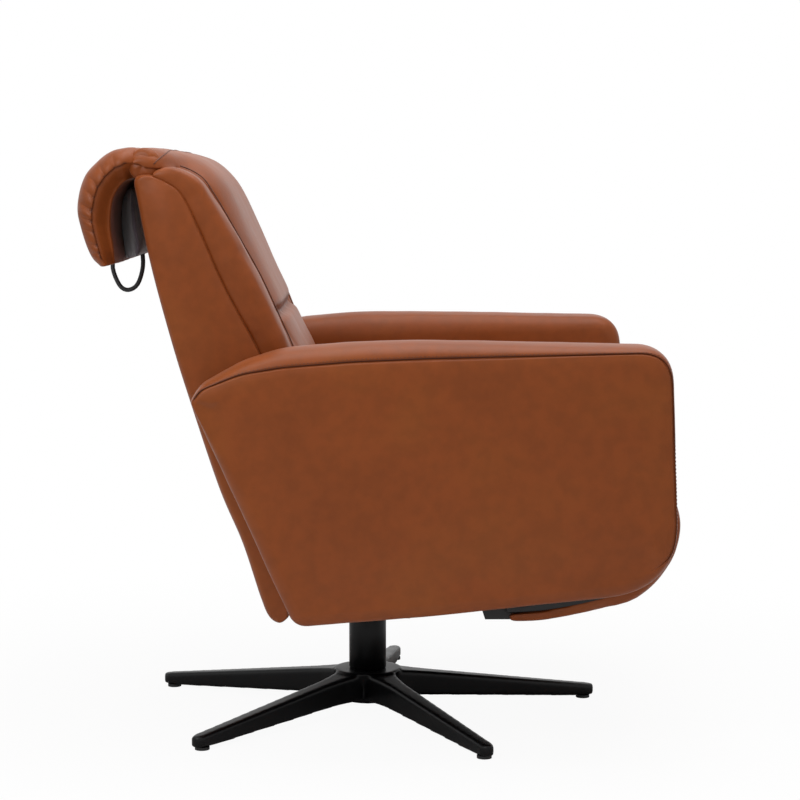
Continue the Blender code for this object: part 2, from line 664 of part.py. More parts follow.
def build_controls(seat):
    face = -(ARM_INNER - GAP)
    front = face + PANEL_THICK
    corners = [(PANEL_X + across * PANEL_HALF_X, PANEL_Z + up * PANEL_HALF_Z)
               for across, up in ((-1, -1), (1, -1), (1, 1), (-1, 1))]
    solid = prism(rounded(weighted(corners, PANEL_HALF_Z), 5), face, front)
    panel = piece("control_panel", solid, seat, BLACK_PLASTIC)
    for i in range(BUTTON_COUNT):
        x = PANEL_X + BUTTON_PITCH * (i - (BUTTON_COUNT - 1) / 2)
        hole = rod(BUTTON_RADIUS + GAP, face - CUT_PAST, front + CUT_PAST, (x, 0, PANEL_Z))
        combine(panel, hole, seat)
        axis = pivot(f"button_{i + 1}_axis", x, PANEL_Z, seat, front)
        top = front + BUTTON_PROUD
        low = face + BUTTON_TRAVEL + GAP
        cap = [(0, low), (BUTTON_RADIUS, low), (BUTTON_RADIUS, top - BUTTON_EDGE),
               (BUTTON_RADIUS - 2 * BUTTON_EDGE, top), (0, top)]
        piece(f"button_{i + 1}", turned(cap, (x, 0, PANEL_Z), "Y"), axis, STEEL)

    top = SEAT_BOARD_LOW - GAP
    low = (BOX_X[0], BOX_Y[0], top - BOX_TALL)
    piece("control_box", box(low, (BOX_X[1], BOX_Y[1], top)), seat, BLACK_PLASTIC)
    y = (BOX_Y[0] + BOX_Y[1]) / 2
    z = top - BOX_TALL / 2
    end = BOX_X[0] - GAP
    mouth = end - INLET_LONG
    inlet = box((mouth, y - INLET_HALF_Y, z - INLET_HALF_Z), (end, y + INLET_HALF_Y, z + INLET_HALF_Z))
    socket = piece("power_inlet", inlet, seat, BLACK_PLASTIC)
    half_y = INLET_HALF_Y - INLET_WALL
    half_z = INLET_HALF_Z - INLET_WALL
    hole = box((mouth - CUT_PAST, y - half_y, z - half_z), (mouth + INLET_DEEP, y + half_y, z + half_z))
    combine(socket, hole, seat)


# Back

def board_point(up, forward):
    """A point from the lower end of the back board, along it and out of its front."""
    low = Vector(BOARD_LOW)
    along = (Vector(BOARD_HIGH) - low).normalized()
    point = low + along * up + Vector((along.y, -along.x)) * forward
    return (point.x, point.y)


def board_bar(up0, up1, forward0, forward1, half):
    """A bar square to the back board."""
    corners = [board_point(up0, forward0), board_point(up0, forward1),
               board_point(up1, forward1), board_point(up1, forward0)]
    return prism(corners, -half, half)


def shell_front():
    """Front face of the back shell, from its foot to its top."""
    return smooth((BACK_FOOT[1],) + BACK_FRONT + (BACK_TOP,), 2)


def build_back_shell(back):
    rear = smooth(BACK_REAR, 3)
    foot = smooth((BACK_REAR[-1], BACK_FOOT[0], BACK_FOOT[1]), 3)[1:-1]
    outline = weighted(rear + foot + shell_front(), 1)
    solid = soft(outline, -BACK_HALF, BACK_HALF, BACK_TUCK, BACK_EDGE)
    shell = piece("back_shell", solid, back, LEATHER, 60)
    length = (Vector(BOARD_HIGH) - Vector(BOARD_LOW)).length
    half = BOARD_THICK / 2
    combine(shell, board_bar(-GAP, length + GAP, -half - GAP, half + GAP, BOARD_HALF + GAP), back)
    combine(shell, board_bar(-2 * GAP, WINDOW_HIGH, 0, WINDOW_HIGH, BOARD_HALF - BOARD_THICK), back)
    axis = (HEADREST_PIVOT[0], 0, HEADREST_PIVOT[1])
    combine(shell, rod(TROUGH_RADIUS, -TROUGH_HALF, TROUGH_HALF, axis), back)
    slot = HINGE_THICK / 2 + GAP
    for side in (1, -1):
        outline = hinge_leaf(GAP)
        combine(shell, prism(outline, side * HINGE_AT - slot, side * HINGE_AT + slot), back)
    piece("back_board", board_bar(0, length, -half, half, BOARD_HALF), back, PLYWOOD)


def hinge_leaf(grow=0.0):
    """Side outline of a headrest hinge leaf: a foot on the board's top edge and an eye."""
    length = (Vector(BOARD_HIGH) - Vector(BOARD_LOW)).length
    foot = length + GAP - 2 * grow
    half = BOARD_THICK / 2 + grow
    eye = arc(HEADREST_PIVOT, HINGE_EYE + grow, 10, 220, 8)
    return [board_point(foot, -half), board_point(foot, half)] + eye


def build_back_frame(back):
    axis = (BACK_PIVOT[0], 0, BACK_PIVOT[1])
    piece("back_shaft", rod(BACK_SHAFT_RADIUS, -SIDE_OUTER, SIDE_OUTER, axis), back, STEEL)
    face = BOARD_THICK / 2 + GAP
    foot = [board_point(BRACKET_FOOT[1], face), board_point(BRACKET_FOOT[0], face)]
    outline = foot + arc(BACK_PIVOT, BRACKET_EYE, -110, 100, 10)
    for name, side in (("left", 1), ("right", -1)):
        y = side * BRACKET_AT
        bracket = piece(f"back_bracket_{name}",
                        prism(outline, y - BRACKET_THICK / 2, y + BRACKET_THICK / 2), back, BLACK_METAL)
        combine(bracket, rod(BACK_SHAFT_RADIUS + GAP, y - BRACKET_THICK, y + BRACKET_THICK, axis), back)
    tilt = math.degrees(LEVER_HALF_SWEEP)
    outline = (arc(BACK_PIVOT, LEVER_EYE, 175 - tilt, 365 - tilt, 10)
               + arc((PIN_X, PIN_Z), LEVER_TIP, 5 - tilt, 175 - tilt, 8))
    lever = piece("back_lever", prism(outline, -LEVER_THICK / 2, LEVER_THICK / 2), back, BLACK_METAL)
    combine(lever, rod(PIN_RADIUS, -PIN_HALF, PIN_HALF, (PIN_X, 0, PIN_Z)), back, "UNION")
    combine(lever, rod(BACK_SHAFT_RADIUS + GAP, -LEVER_THICK, LEVER_THICK, axis), back)
    for name, side in (("left", 1), ("right", -1)):
        y = side * HINGE_AT
        leaf = piece(f"headrest_hinge_{name}",
                     prism(hinge_leaf(), y - HINGE_THICK / 2, y + HINGE_THICK / 2), back, STEEL)
        pin = (HEADREST_PIVOT[0], 0, HEADREST_PIVOT[1])
        combine(leaf, rod(HINGE_SHAFT_RADIUS + RUN, y - HINGE_THICK, y + HINGE_THICK, pin), back)


def above(curve, height):
    """The part of a rising curve over a height, with its first point on that height."""
    for i, (x, z) in enumerate(curve):
        if z > height:
            before = curve[i - 1]
            share = (height - before[1]) / (z - before[1])
            return [(before[0] + (x - before[0]) * share, height)] + curve[i:]
    return []


def below(curve, height):
    """The part of a rising curve under a height, with its last point on that height."""
    flipped = [(x, -z) for x, z in reversed(curve)]
    return [(x, -z) for x, z in reversed(above(flipped, -height))]


def pad_on_shell(low, high, thick, top=None):
    """Outline of a pad on the shell's front between two heights."""
    rest = offset(shell_front(), -GAP)
    rest = below(above(rest, low), high)
    face = offset(rest, -thick)
    if top:
        rest = rest + [top]
    face[0] = (face[0][0] - PAD_SHOULDER * thick, face[0][1] + GAP)
    return weighted(rest, 0) + weighted(list(reversed(face)), 1)


def build_back_cushions(back):
    shell_top = CUSHION_TOP_REAR[1] - 2 * BACK_TUCK
    bolster = pad_on_shell(CUSHION_LOW, shell_top, BOLSTER_THICK, CUSHION_TOP_REAR)
    for name, side in (("left", 1), ("right", -1)):
        y = sorted((side * BOLSTER_INNER, side * BACK_HALF))
        roll = soft(bolster, y[0], y[1], BOLSTER_TUCK, BOLSTER_EDGE)
        piece(f"bolster_{name}", roll, back, LEATHER, 60)
    upper = pad_on_shell(CUSHION_SPLIT + SWING / 2, shell_top, CUSHION_THICK, CUSHION_TOP_REAR)
    lower = pad_on_shell(CUSHION_LOW, CUSHION_SPLIT - SWING / 2, LUMBAR_THICK)
    for name, outline in (("back_cushion", upper), ("lumbar_cushion", lower)):
        pad = soft(outline, -CUSHION_HALF, CUSHION_HALF, CUSHION_TUCK, CUSHION_EDGE)
        piece(name, pad, back, LEATHER, 60)


# Back actuator: the lever's pin rides in the rod's slotted yoke

def build_actuator(seat, rod_mount):
    axis = (0, 0, ACTUATOR_Z)
    tube = [(ROD_RADIUS + RUN, TUBE_AT), (TUBE_RADIUS, TUBE_AT), (TUBE_RADIUS, TUBE_AT + TUBE_LENGTH),
            (TUBE_WIRE_RADIUS, TUBE_AT + TUBE_LENGTH), (TUBE_WIRE_RADIUS, TUBE_AT + TUBE_BORE),
            (ROD_RADIUS + RUN, TUBE_AT + TUBE_BORE)]
    body = piece("actuator_body", turned(tube, axis, "X"), seat, BLACK_PLASTIC)
    in_wall = ACTUATOR_Z - (TUBE_RADIUS + ROD_RADIUS) / 2
    foot = box((MEMBER_AT - MEMBER_WIDE / 2, -TUBE_FOOT_HALF, MEMBER_TOP + GAP),
               (MEMBER_AT + MEMBER_WIDE / 2, TUBE_FOOT_HALF, in_wall))
    combine(body, foot, seat, "UNION")
    end = TUBE_AT + TUBE_LENGTH
    below_tube = (0, 0, ACTUATOR_Z - TUBE_RADIUS - GAP - MOTOR_RADIUS)
    piece("actuator_motor", rod(MOTOR_RADIUS, end - MOTOR_LENGTH, end, below_tube, "X"), seat, BLACK_PLASTIC)

    yoke_front = PIN_X + YOKE_FORK + YOKE_WEB
    solid = rod(ROD_RADIUS, yoke_front - YOKE_WEB / 2, yoke_front + ROD_LENGTH, axis, "X")
    bar = piece("actuator_rod", solid, rod_mount, STEEL)
    yoke = box((PIN_X - YOKE_REACH, -YOKE_HALF_Y, ACTUATOR_Z - YOKE_HALF_Z),
               (yoke_front, YOKE_HALF_Y, ACTUATOR_Z + YOKE_HALF_Z))
    combine(bar, yoke, rod_mount, "UNION")
    rise = LEVER_LENGTH * (1 - math.cos(LEVER_HALF_SWEEP)) / 2
    slot_x = PIN_RADIUS + YOKE_PLAY
    slot_z = PIN_RADIUS + rise + YOKE_PLAY
    combine(bar, box((PIN_X - slot_x, -2 * YOKE_HALF_Y, ACTUATOR_Z - slot_z),
                     (PIN_X + slot_x, 2 * YOKE_HALF_Y, ACTUATOR_Z + slot_z)), rod_mount)
    fork = LEVER_THICK / 2 + YOKE_PLAY
    combine(bar, box((PIN_X - 2 * YOKE_REACH, -fork, ACTUATOR_Z - 2 * YOKE_HALF_Z),
                     (PIN_X + YOKE_FORK, fork, ACTUATOR_Z + 2 * YOKE_HALF_Z)), rod_mount)


# Headrest

def build_headrest(head):
    outer = smooth(HEADREST_OUTER, 2)
    inner = smooth(HEADREST_INNER, 2)
    turn = HEADREST_ROOT_TURN
    root = arc(HEADREST_PIVOT, BARREL_RADIUS - HEADREST_ROOT_DEPTH, turn, turn, 1)[:1]
    outline = weighted(outer, 1) + weighted(inner, 0) + weighted(root, 0)
    solid = soft(outline, -HEADREST_HALF, HEADREST_HALF, HEADREST_TUCK, HEADREST_EDGE)
    pad = piece("headrest_pad", solid, head, LEATHER, 60)
    axis = (HEADREST_PIVOT[0], 0, HEADREST_PIVOT[1])
    barrel = ring(HINGE_SHAFT_RADIUS + GAP, BARREL_RADIUS, -BARREL_HALF, BARREL_HALF, axis, "Y")
    combine(pad, barrel, head, "UNION")
    for side in (1, -1):
        slot = HINGE_THICK / 2 + RUN
        combine(pad, rod(TROUGH_RADIUS, side * HINGE_AT - slot, side * HINGE_AT + slot, axis), head)
    piece("headrest_shaft", rod(HINGE_SHAFT_RADIUS, -BARREL_HALF, BARREL_HALF, axis), head, STEEL)

    rest = offset(inner, -GAP)
    block = weighted(rest, 0) + weighted(smooth(LINING_FACE, 2), 1)
    solid = soft(block, -LINING_HALF, LINING_HALF, LINING_TUCK, LINING_EDGE)
    lining = piece("headrest_lining", solid, head, LINING, 60)
    path = smooth(LOOP_PATH, 4)
    piece("pull_loop", tube_along(path, LOOP_RADIUS), head, RUBBER, 60)
    for carrier in (pad, lining):
        combine(carrier, tube_along(path, LOOP_RADIUS + GAP), head)


# Footrest

def build_footrest(seat, foot):
    outer = smooth(FOOTREST_OUTER, 2)
    inner = offset(outer, -FOOTREST_THICK)
    tip = (Vector(outer[0]) + Vector(inner[0])) / 2 + Vector((0, FOOTREST_TIP_RISE))
    outline = weighted(outer, 1) + weighted(list(reversed(inner)), 0) + weighted([tuple(tip)], 0.5)
    pad = soft(outline, -FOOTREST_HALF, FOOTREST_HALF, FOOTREST_TUCK, FOOTREST_EDGE)
    piece("footrest_pad", pad, foot, LEATHER, 60)
    low = [i for i, (x, z) in enumerate(inner) if z < SIDE_PLATE_ARM_LOW]
    near = offset(outer, -FOOTREST_THICK - GAP)[low[0]:]
    far = offset(outer, -FOOTREST_THICK - GAP - FOOTREST_BOARD)[low[0]:]
    half = FOOTREST_HALF - FOOTREST_TUCK
    piece("footrest_board", prism(near + list(reversed(far)), -half, half), foot, PLYWOOD)

    axis = (FOOTREST_PIVOT[0], 0, FOOTREST_PIVOT[1])
    bore = FOOTREST_MOTOR_RADIUS + RUN
    piece("footrest_tube", ring(bore, FOOTREST_TUBE_RADIUS, -half, half, axis, "Y"), foot, BLACK_METAL)
    end = SIDE_INNER - GAP
    piece("footrest_motor", rod(FOOTREST_MOTOR_RADIUS, end - FOOTREST_MOTOR_LENGTH, end, axis), seat, STEEL)
    pin = rod(FOOTREST_MOTOR_RADIUS, -end, FOOTREST_PIN_LENGTH - end, axis)
    piece("footrest_pivot_pin", pin, seat, STEEL)

    seat_line = offset(outer, -FOOTREST_THICK - 2 * GAP - FOOTREST_BOARD)
    eye = arc(FOOTREST_PIVOT, FOOTREST_ARM_EYE, 205, -20, 12)
    outline = seat_line[low[0]:-FOOTREST_ARM_SHORT] + eye
    for name, side in (("left", 1), ("right", -1)):
        y = side * FOOTREST_ARM_AT
        t = FOOTREST_ARM_THICK / 2
        arm = piece(f"footrest_arm_{name}", prism(outline, y - t, y + t), foot, BLACK_METAL)
        combine(arm, rod(FOOTREST_TUBE_RADIUS + GAP, y - 2 * t, y + 2 * t, axis), foot)
        front = min(outer[-1][0], inner[-1][0]) - GAP
        y = side * (half - FOOT_BRACKET_HALF)
        wedge = [(FOOT_BRACKET_REAR, FOOT_BRACKET_LOW), (front, FOOT_BRACKET_LOW),
                 (front, FOOT_BRACKET_HIGH), (FOOT_BRACKET_REAR - FOOT_BRACKET_SLANT, FOOT_BRACKET_HIGH)]
        block = prism(wedge, y - FOOT_BRACKET_HALF, y + FOOT_BRACKET_HALF)
        piece(f"footrest_bracket_{name}", block, foot, BLACK_PLASTIC)


def main():
    clear_scene()
    root = pivot("base", 0, 0)
    seat = pivot("swivel_axis", 0, 0, root)
    back = pivot("recline_axis", *BACK_PIVOT, seat)
    rod_mount = pivot("actuator_axis", PIN_X, ACTUATOR_Z, seat)
    head = pivot("headrest_axis", *HEADREST_PIVOT, back)
    foot = pivot("footrest_axis", *FOOTREST_PIVOT, seat)
    build_base(root)
    build_swivel(seat)
    build_seat_frame(seat)
    build_seat_cushion(seat)
    build_arms(seat)
    build_controls(seat)
    build_back_shell(back)
    build_back_frame(back)
    build_back_cushions(back)
    build_actuator(seat, rod_mount)
    build_headrest(head)
    build_footrest(seat, foot)


main()
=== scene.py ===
"""Leather, metal and studio looks of a power swivel recliner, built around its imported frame.

Metres, +Z up, +X to the chair's front, +Y to the sitter's left. Side outlines are written as (x, z)
with x measured from the swivel axis, as the frame's own pieces are.
"""

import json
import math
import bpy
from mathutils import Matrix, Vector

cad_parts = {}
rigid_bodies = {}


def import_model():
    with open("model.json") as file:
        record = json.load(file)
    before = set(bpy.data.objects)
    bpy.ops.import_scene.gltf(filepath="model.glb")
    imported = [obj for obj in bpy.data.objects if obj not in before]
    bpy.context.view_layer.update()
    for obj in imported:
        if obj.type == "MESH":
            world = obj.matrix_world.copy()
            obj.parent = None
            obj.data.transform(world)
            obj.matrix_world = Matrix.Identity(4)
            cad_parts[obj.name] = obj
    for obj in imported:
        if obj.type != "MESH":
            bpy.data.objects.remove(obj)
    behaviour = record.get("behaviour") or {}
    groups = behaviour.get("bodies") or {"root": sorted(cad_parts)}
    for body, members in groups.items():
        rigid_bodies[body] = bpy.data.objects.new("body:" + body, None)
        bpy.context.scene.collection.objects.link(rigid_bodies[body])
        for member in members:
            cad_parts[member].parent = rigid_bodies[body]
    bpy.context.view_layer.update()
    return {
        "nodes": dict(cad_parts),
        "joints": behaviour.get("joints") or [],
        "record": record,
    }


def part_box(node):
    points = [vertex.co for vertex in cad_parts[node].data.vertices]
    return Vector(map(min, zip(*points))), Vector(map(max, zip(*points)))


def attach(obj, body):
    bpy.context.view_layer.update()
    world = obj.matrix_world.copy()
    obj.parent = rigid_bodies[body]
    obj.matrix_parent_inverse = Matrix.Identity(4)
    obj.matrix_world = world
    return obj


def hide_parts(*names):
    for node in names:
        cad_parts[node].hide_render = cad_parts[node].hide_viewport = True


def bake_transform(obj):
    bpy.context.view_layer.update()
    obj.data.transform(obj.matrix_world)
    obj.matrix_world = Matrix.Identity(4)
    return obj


bl_info = {
    "name": "Swivel recliner upholstery",
    "version": (1, 0, 0),
    "blender": (4, 5, 0),
    "location": "View3D > Sidebar > Recliner",
    "description": "Dresses the frame of a power swivel recliner in tan leather and black metal",
    "category": "Object",
}

import bmesh
import bpy
from bpy.props import FloatProperty, FloatVectorProperty, PointerProperty
from mathutils import Matrix, Vector, noise
from mathutils.kdtree import KDTree

for left_over in list(bpy.data.objects):
    bpy.data.objects.remove(left_over, do_unlink=True)

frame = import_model()
JOINTS = {joint["name"]: joint for joint in frame["joints"]}
SWIVEL_X = JOINTS["swivel"]["pos_m"][0]

# Camera of the photograph
CAMERA_PLACE = (-0.0067, -3.3174, 0.8062)
CAMERA_TURN = (84.23, 0.0, -0.643)
CAMERA_LENS = 99.67
CAMERA_SENSOR = 36.0

# Arms
ARM_INNER = 0.280
ARM_EDGE = 0.374
ARM_CORNERS = (  # x, height of the seam, crown over it and radius
    (-0.2365, 0.5060, 0.0, 0.008), (-0.2235, 0.5245, 0.002, 0.03), (-0.1700, 0.5455, 0.0115, 0.12),
    (-0.1150, 0.5545, 0.0215, 0.2), (-0.0200, 0.5625, 0.0215, 0.6), (0.0800, 0.5668, 0.019, 0.8),
    (0.4110, 0.5745, 0.0045, 0.048), (0.4245, 0.2475, 0.0, 0.105), (0.0800, 0.2110, 0.0, 0.6),
    (-0.0980, 0.1970, 0.0, 0.028),
)
ARM_POINTS = 300
ARM_STEPS = 24
ARM_SOFT_EDGE = 0.018
ARM_SEAM_EDGE = 0.003
ARM_SEAM_DEEP = 0.0026
# Width of the painted shade along the arm's seam
ARM_SEAM_SHADE_WIDE = 0.0022
ARM_RIPPLES = ((0.0010, 0.11, 2), (0.0004, 0.035, 5))  # height, size and seed
STITCH_LONG = 0.0036
STITCH_GAP = 0.0016
STITCH_THICK = 0.0008
STITCH_SUNK = 0.0005
STITCH_PROUD = 0.0002
ARM_PANEL_ROLL = 0.0030
ARM_ROLL_RISE = 0.006
ARM_ROLL_FALL = 0.06
ARM_PANEL_DOME = 0.0042
ARM_PUFFED_REACH = 0.045
ARM_LEVEL_REACH = 0.06
ARM_PANEL_RINGS = (0.0012, 0.0026, 0.0048, 0.008, 0.0125, 0.019, 0.028)
ARM_GRID = 0.022
SEWN_FRONT_END = -0.75
SEWN_REAR_END = 0.15
SEWN_FADE = 0.35
SEAM_SHARE = 0.93
STITCH_SHARE = 0.6
ROLL_FRONT = (-0.97, -0.2)
ROLL_REAR_TOP = 0.3
ROLL_REAR = (0.36, 0.50)

# Back
BACK_HALF = 0.270
BACK_REAR = ((-0.3197, 0.7960), (-0.2905, 0.6533), (-0.2463, 0.4981), (-0.2062, 0.3755), (-0.1745, 0.2980),
             (-0.1500, 0.2215))
BACK_FOOT = ((-0.1405, 0.1965), (-0.1305, 0.1850), (-0.1190, 0.1835), (-0.1085, 0.1920))
BACK_FRONT = (
    (-0.1010, 0.3000), (-0.0990, 0.4200), (-0.1140, 0.4900), (-0.1461, 0.5648), (-0.1932, 0.6538),
    (-0.2266, 0.7286), (-0.2513, 0.7808), (-0.2734, 0.7992),
)
BACK_TOP = (-0.2960, 0.8088)
BACK_SHOULDER = ((-0.3100, 0.8083), (-0.3178, 0.8048))
BACK_ROUND = 0.018
BACK_STEPS = 8
BACK_GRID = 0.02
BACK_INSIDE = (0.2498, 0.240, 0.12, 0.0)  # places across of the rings between the ears
BACK_SEAM_TUCK = 0.004
BACK_SOFT_TUCK = 0.010
BACK_DOME = 0.0045
BACK_TOP_DOME = 0.0110
BACK_DOME_FROM = 0.58
BACK_DOME_FULL = 0.70
BACK_DOME_REACH = 0.030
SEAM_SINK = 0.0040
EAR_AT = 0.250
EAR_STEP = 0.001
TROUGH_RADIUS = 0.0345
HEAD_PIVOT = (-0.305, 0.822)
PAD_HELD = (0.002, 0.02)  # distances from a resting line at which a pad starts to be free and is free
BOLSTER_INNER = 0.2085
BOLSTER_SIDE_IN = 0.001
BOLSTER_FACE = (
    (-0.2885, 0.8150), (-0.2648, 0.8192), (-0.2327, 0.8040), (-0.2155, 0.7808), (-0.2021, 0.7586),
    (-0.1791, 0.7179), (-0.1513, 0.6674), (-0.1253, 0.6108), (-0.1020, 0.5560), (-0.0860, 0.4960),
)
BOLSTER_EDGE = 0.012
BOLSTER_TUCK = 0.006
BOLSTER_TOP = 0.8062
BOLSTER_STEPS = 8
BOLSTER_SKIN = 0.0038
BOLSTER_SWELL = 0.0035
PANEL_HALF = 0.2075
PANEL_LOW = 0.486
PANEL_REST_TOP = 0.797
PANEL_STEPS = 56
PANEL_SKIN = 0.0052
PANEL_SWELL = 0.003
PANEL_PULLS = (  # start, end and place of the short creases beside the fold
    ((-0.1270, 0.6070), (-0.1010, 0.5600), 0.192), ((-0.1310, 0.6040), (-0.1160, 0.5660), 0.203),
)
PULL_SLANT = 0.02
PULL_DEEP = 0.0030
PULL_WIDE = 0.0045
# Share of painted shade beside the pulls
PULL_SHADE = 0.15
SEAM_CORD = 0.0010
PANEL_SEAM_TOP = 0.258
PANEL_SEAM_OUT = 0.0012
PANEL_SEAM_UP = 0.0030
PANEL_FACE = (  # middle line, from the tail over the hinge down to the seat
    (-0.3340, 0.8320), (-0.3280, 0.8398), (-0.3180, 0.8435), (-0.3000, 0.8438), (-0.2813, 0.8408),
    (-0.2550, 0.8352), (-0.2310, 0.8255), (-0.2060, 0.8030), (-0.1890, 0.7745), (-0.1570, 0.7030),
    (-0.1182, 0.6164), (-0.1012, 0.5810), (-0.0824, 0.5422), (-0.0700, 0.4900),
)
PANEL_TAIL_UNDER = (
    (-0.2690, 0.8080), (-0.2720, 0.8200), (-0.2830, 0.8295), (-0.3000, 0.8330), (-0.3200, 0.8325),
)
PANEL_CROWN = 0.0200
PANEL_CROWN_WIDE = 0.160
PANEL_CROWN_POWER = 4.5
TAIL_HALF = 0.262
TAIL_EDGE = 0.034
TAIL_FROM = 0.235
TAIL_FULL = 0.295
CROSS_SEAM_AT = 0.277
CROSS_SEAM_SLANT = 0.014
CROSS_SEAM_NEAR = (0.267, 0.307)
SEAM_STEPS = 80
FOLD_LOW = (-0.1145, 0.6178)
FOLD_NORMAL = (0.926, 0.378)
FOLD_DEEP = 0.0100
FOLD_WIDE = 0.0085
# Share of painted shade in the fold
FOLD_SHADE = 0.35

# Headrest: outer and inner line of the folded pad, from its hinge to its lip
BARREL_RADIUS = 0.0232
BARREL_HALF = 0.2475
BARREL_END = 0.004
HEADREST_HALF = 0.268
HEADREST_OUTER = (
    (-0.3120, 0.8400), (-0.3170, 0.8442), (-0.3240, 0.8459), (-0.3350, 0.8446), (-0.3523, 0.8396),
    (-0.3710, 0.8268), (-0.3894, 0.8050), (-0.3997, 0.7654), (-0.3950, 0.7350), (-0.3813, 0.6966),
    (-0.3690, 0.6815),
)
HEADREST_INNER = (
    (-0.3190, 0.8030), (-0.3270, 0.8025), (-0.3370, 0.7965), (-0.3445, 0.7870), (-0.3505, 0.7740),
    (-0.3535, 0.7540), (-0.3535, 0.7300), (-0.3500, 0.7040), (-0.3490, 0.6860),
)
LINING_FACE = ((-0.3280, 0.7900), (-0.3240, 0.7500), (-0.3180, 0.7050), (-0.3200, 0.6930))
HEADREST_STEPS = 130
HEADREST_START_IN = 0.012
HEADREST_LIP_IN = 0.006
HEADREST_LIP = 0.004
HEADREST_END = 0.12
HEADREST_SEAM_IN = 0.002
END_SEAM_DEEP = 0.0010
END_SEAM_IN = 0.0035
GUSSET_START = 0.003
GUSSET_IN = 0.025
GUSSET_GATHER = 0.15
LINING_FILL = (  # place across, and the share that is filled there
    (-0.185, 0.14), (-0.181, 0.20), (-0.16, 0.42), (-0.12, 0.90), (0.0, 1.0),
)
LINING_SKIN = 0.004
LINING_SWELL = 0.002
GATHER_PROFILE = (  # share of the barrel's radius, and how far out
    (1.0, 0.0), (1.0, 0.003), (0.93, 0.007), (0.76, 0.0095), (0.5, 0.011), (0.25, 0.0105), (0.06, 0.010),
)
GATHER_FOLD = 0.0009
GATHER_IN = 0.002
PLEATS = 11
PLEAT_HIGH = 0.0060

# Seat and footrest
SEAT_HALF = 0.2735
SEAT_SIDE_IN = 0.002
SEAT_REAR = -0.082
SEAT_FRONT = 0.408
SEAT_LOW = 0.3965
SEAT_LIP_LOW = 0.3865
SEAT_TOP = 0.452
SEAT_CROWN = 0.013
SEAT_TUCK = 0.014
SEAT_EDGE = 0.034
SEAT_SKIN = 0.006
SEAT_SWELL = 0.012
SEAT_HELD = 0.004
FOOTREST_HALF = 0.265
FOOTREST_TUCK = 0.012
FOOTREST_EDGE = 0.028
FOOTREST_SKIN = 0.005
FOOTREST_SWELL = 0.005
FOOTREST_THICK = 0.030
FOOTREST_LEATHER = 0.015
# Sizes of the black sheet over the footrest's upper half, which is painted shade
FOOTREST_SHADE_TRAY_IN = 0.003
FOOTREST_SHADE_TRAY_TUCK = 0.002
FOOTREST_OUTER = (
    (0.4265, 0.3665), (0.4370, 0.3287), (0.4356, 0.3040), (0.4261, 0.2728), (0.4057, 0.2388),
    (0.3713, 0.2158), (0.3317, 0.2048), (0.2872, 0.1948), (0.2426, 0.1879), (0.1960, 0.1850),
)

# Base
HUB_RADIUS = 0.0515
HUB_FOOT = 0.034
CASTING_SKIN = 0.0022
CASTING_EASE = 4
SLEEVE_BEVEL = 0.0015
SLEEVE_NARROW = 0.94
SLEEVE_GAP = 0.0003

# Stuffing by cloth simulation
STUFF_FRAMES = 20
CLOTH = {
    "quality": 4, "mass": 0.4, "tension_stiffness": 20, "compression_stiffness": 20, "shear_stiffness": 8,
    "bending_stiffness": 4, "use_pressure": True, "uniform_pressure_force": 4.0,
}

# Stage
FLOOR_NEAR = 0.5
FLOOR_FAR = 1.3
LIGHTS = (  # name of the light and of its setting, place, target and size
    ("overhead_softbox", "overhead", (0.25, -0.2, 2.6), (0.0, 0.0, 0.4), 2.2),
    ("front_fill", "fill", (1.6, -2.6, 1.5), (0.0, 0.0, 0.4), 1.8),
    ("upper_key", "key", (-0.9, -1.5, 1.5), (-0.2, -0.25, 0.7), 0.6),
    ("rear_softbox", "rear", (-2.4, -1.2, 1.6), (0.0, 0.0, 0.5), 1.4),
)

SIDES = (("left", 1), ("right", -1))
LOOKS = {}


def linear(code):
    """Linear colour of an sRGB hex value."""
    channels = [int(code[i:i + 2], 16) / 255 for i in (1, 3, 5)]
    return tuple(c / 12.92 if c <= 0.04045 else ((c + 0.055) / 1.055) ** 2.4 for c in channels)


# Curves in the side plane

def rounded(corners, steps):
    """A closed outline whose corners (x, z, radius) are rounded."""
    points = []
    for i, (x, z, radius) in enumerate(corners):
        here = Vector((x, z))
        before = Vector(corners[i - 1][:2]) - here
        after = Vector(corners[(i + 1) % len(corners)][:2]) - here
        reach = min(radius / math.tan(before.angle(after) / 2), 0.48 * before.length, 0.48 * after.length)
        start = here + before.normalized() * reach
        end = here + after.normalized() * reach
        for k in range(steps + 1):
            t = k / steps
            points.append(start * (1 - t) ** 2 + here * 2 * t * (1 - t) + end * t ** 2)
    return points


def spline(points, steps=6):
    """A smooth curve through the points."""
    spots = [Vector(p) for p in points]
    spots = [2 * spots[0] - spots[1]] + spots + [2 * spots[-1] - spots[-2]]
    curve = []
    for a, b, c, d in zip(spots, spots[1:], spots[2:], spots[3:]):
        for k in range(steps):
            t = k / steps
            curve.append(0.5 * (2 * b + (c - a) * t + (2 * a - 5 * b + 4 * c - d) * t ** 2
                                + (3 * b - a - 3 * c + d) * t ** 3))
    curve.append(spots[-2])
    return curve


def evenly(points, count, closed=False):
    """The curve with a number of points at even steps."""
    path = list(points) + ([points[0]] if closed else [])
    lengths = [0.0]
    for a, b in zip(path, path[1:]):
        lengths.append(lengths[-1] + (b - a).length)
    stops = count if closed else count - 1
    result = []
    k = 0
    for i in range(count):
        target = lengths[-1] * i / stops
        while k < len(path) - 2 and lengths[k + 1] < target:
            k += 1
        span = lengths[k + 1] - lengths[k]
        share = (target - lengths[k]) / span if span else 0.0
        result.append(path[k].lerp(path[k + 1], share))
    return result


def outward(points):
    """Unit normals of a closed outline, pointing out of it."""
    area = sum(a.x * b.y - b.x * a.y for a, b in zip(points, points[1:] + points[:1]))
    side = 1 if area > 0 else -1
    normals = []
    for i in range(len(points)):
        along = (points[(i + 1) % len(points)] - points[i - 1]).normalized()
        normals.append(Vector((along.y, -along.x)) * side)
    return normals


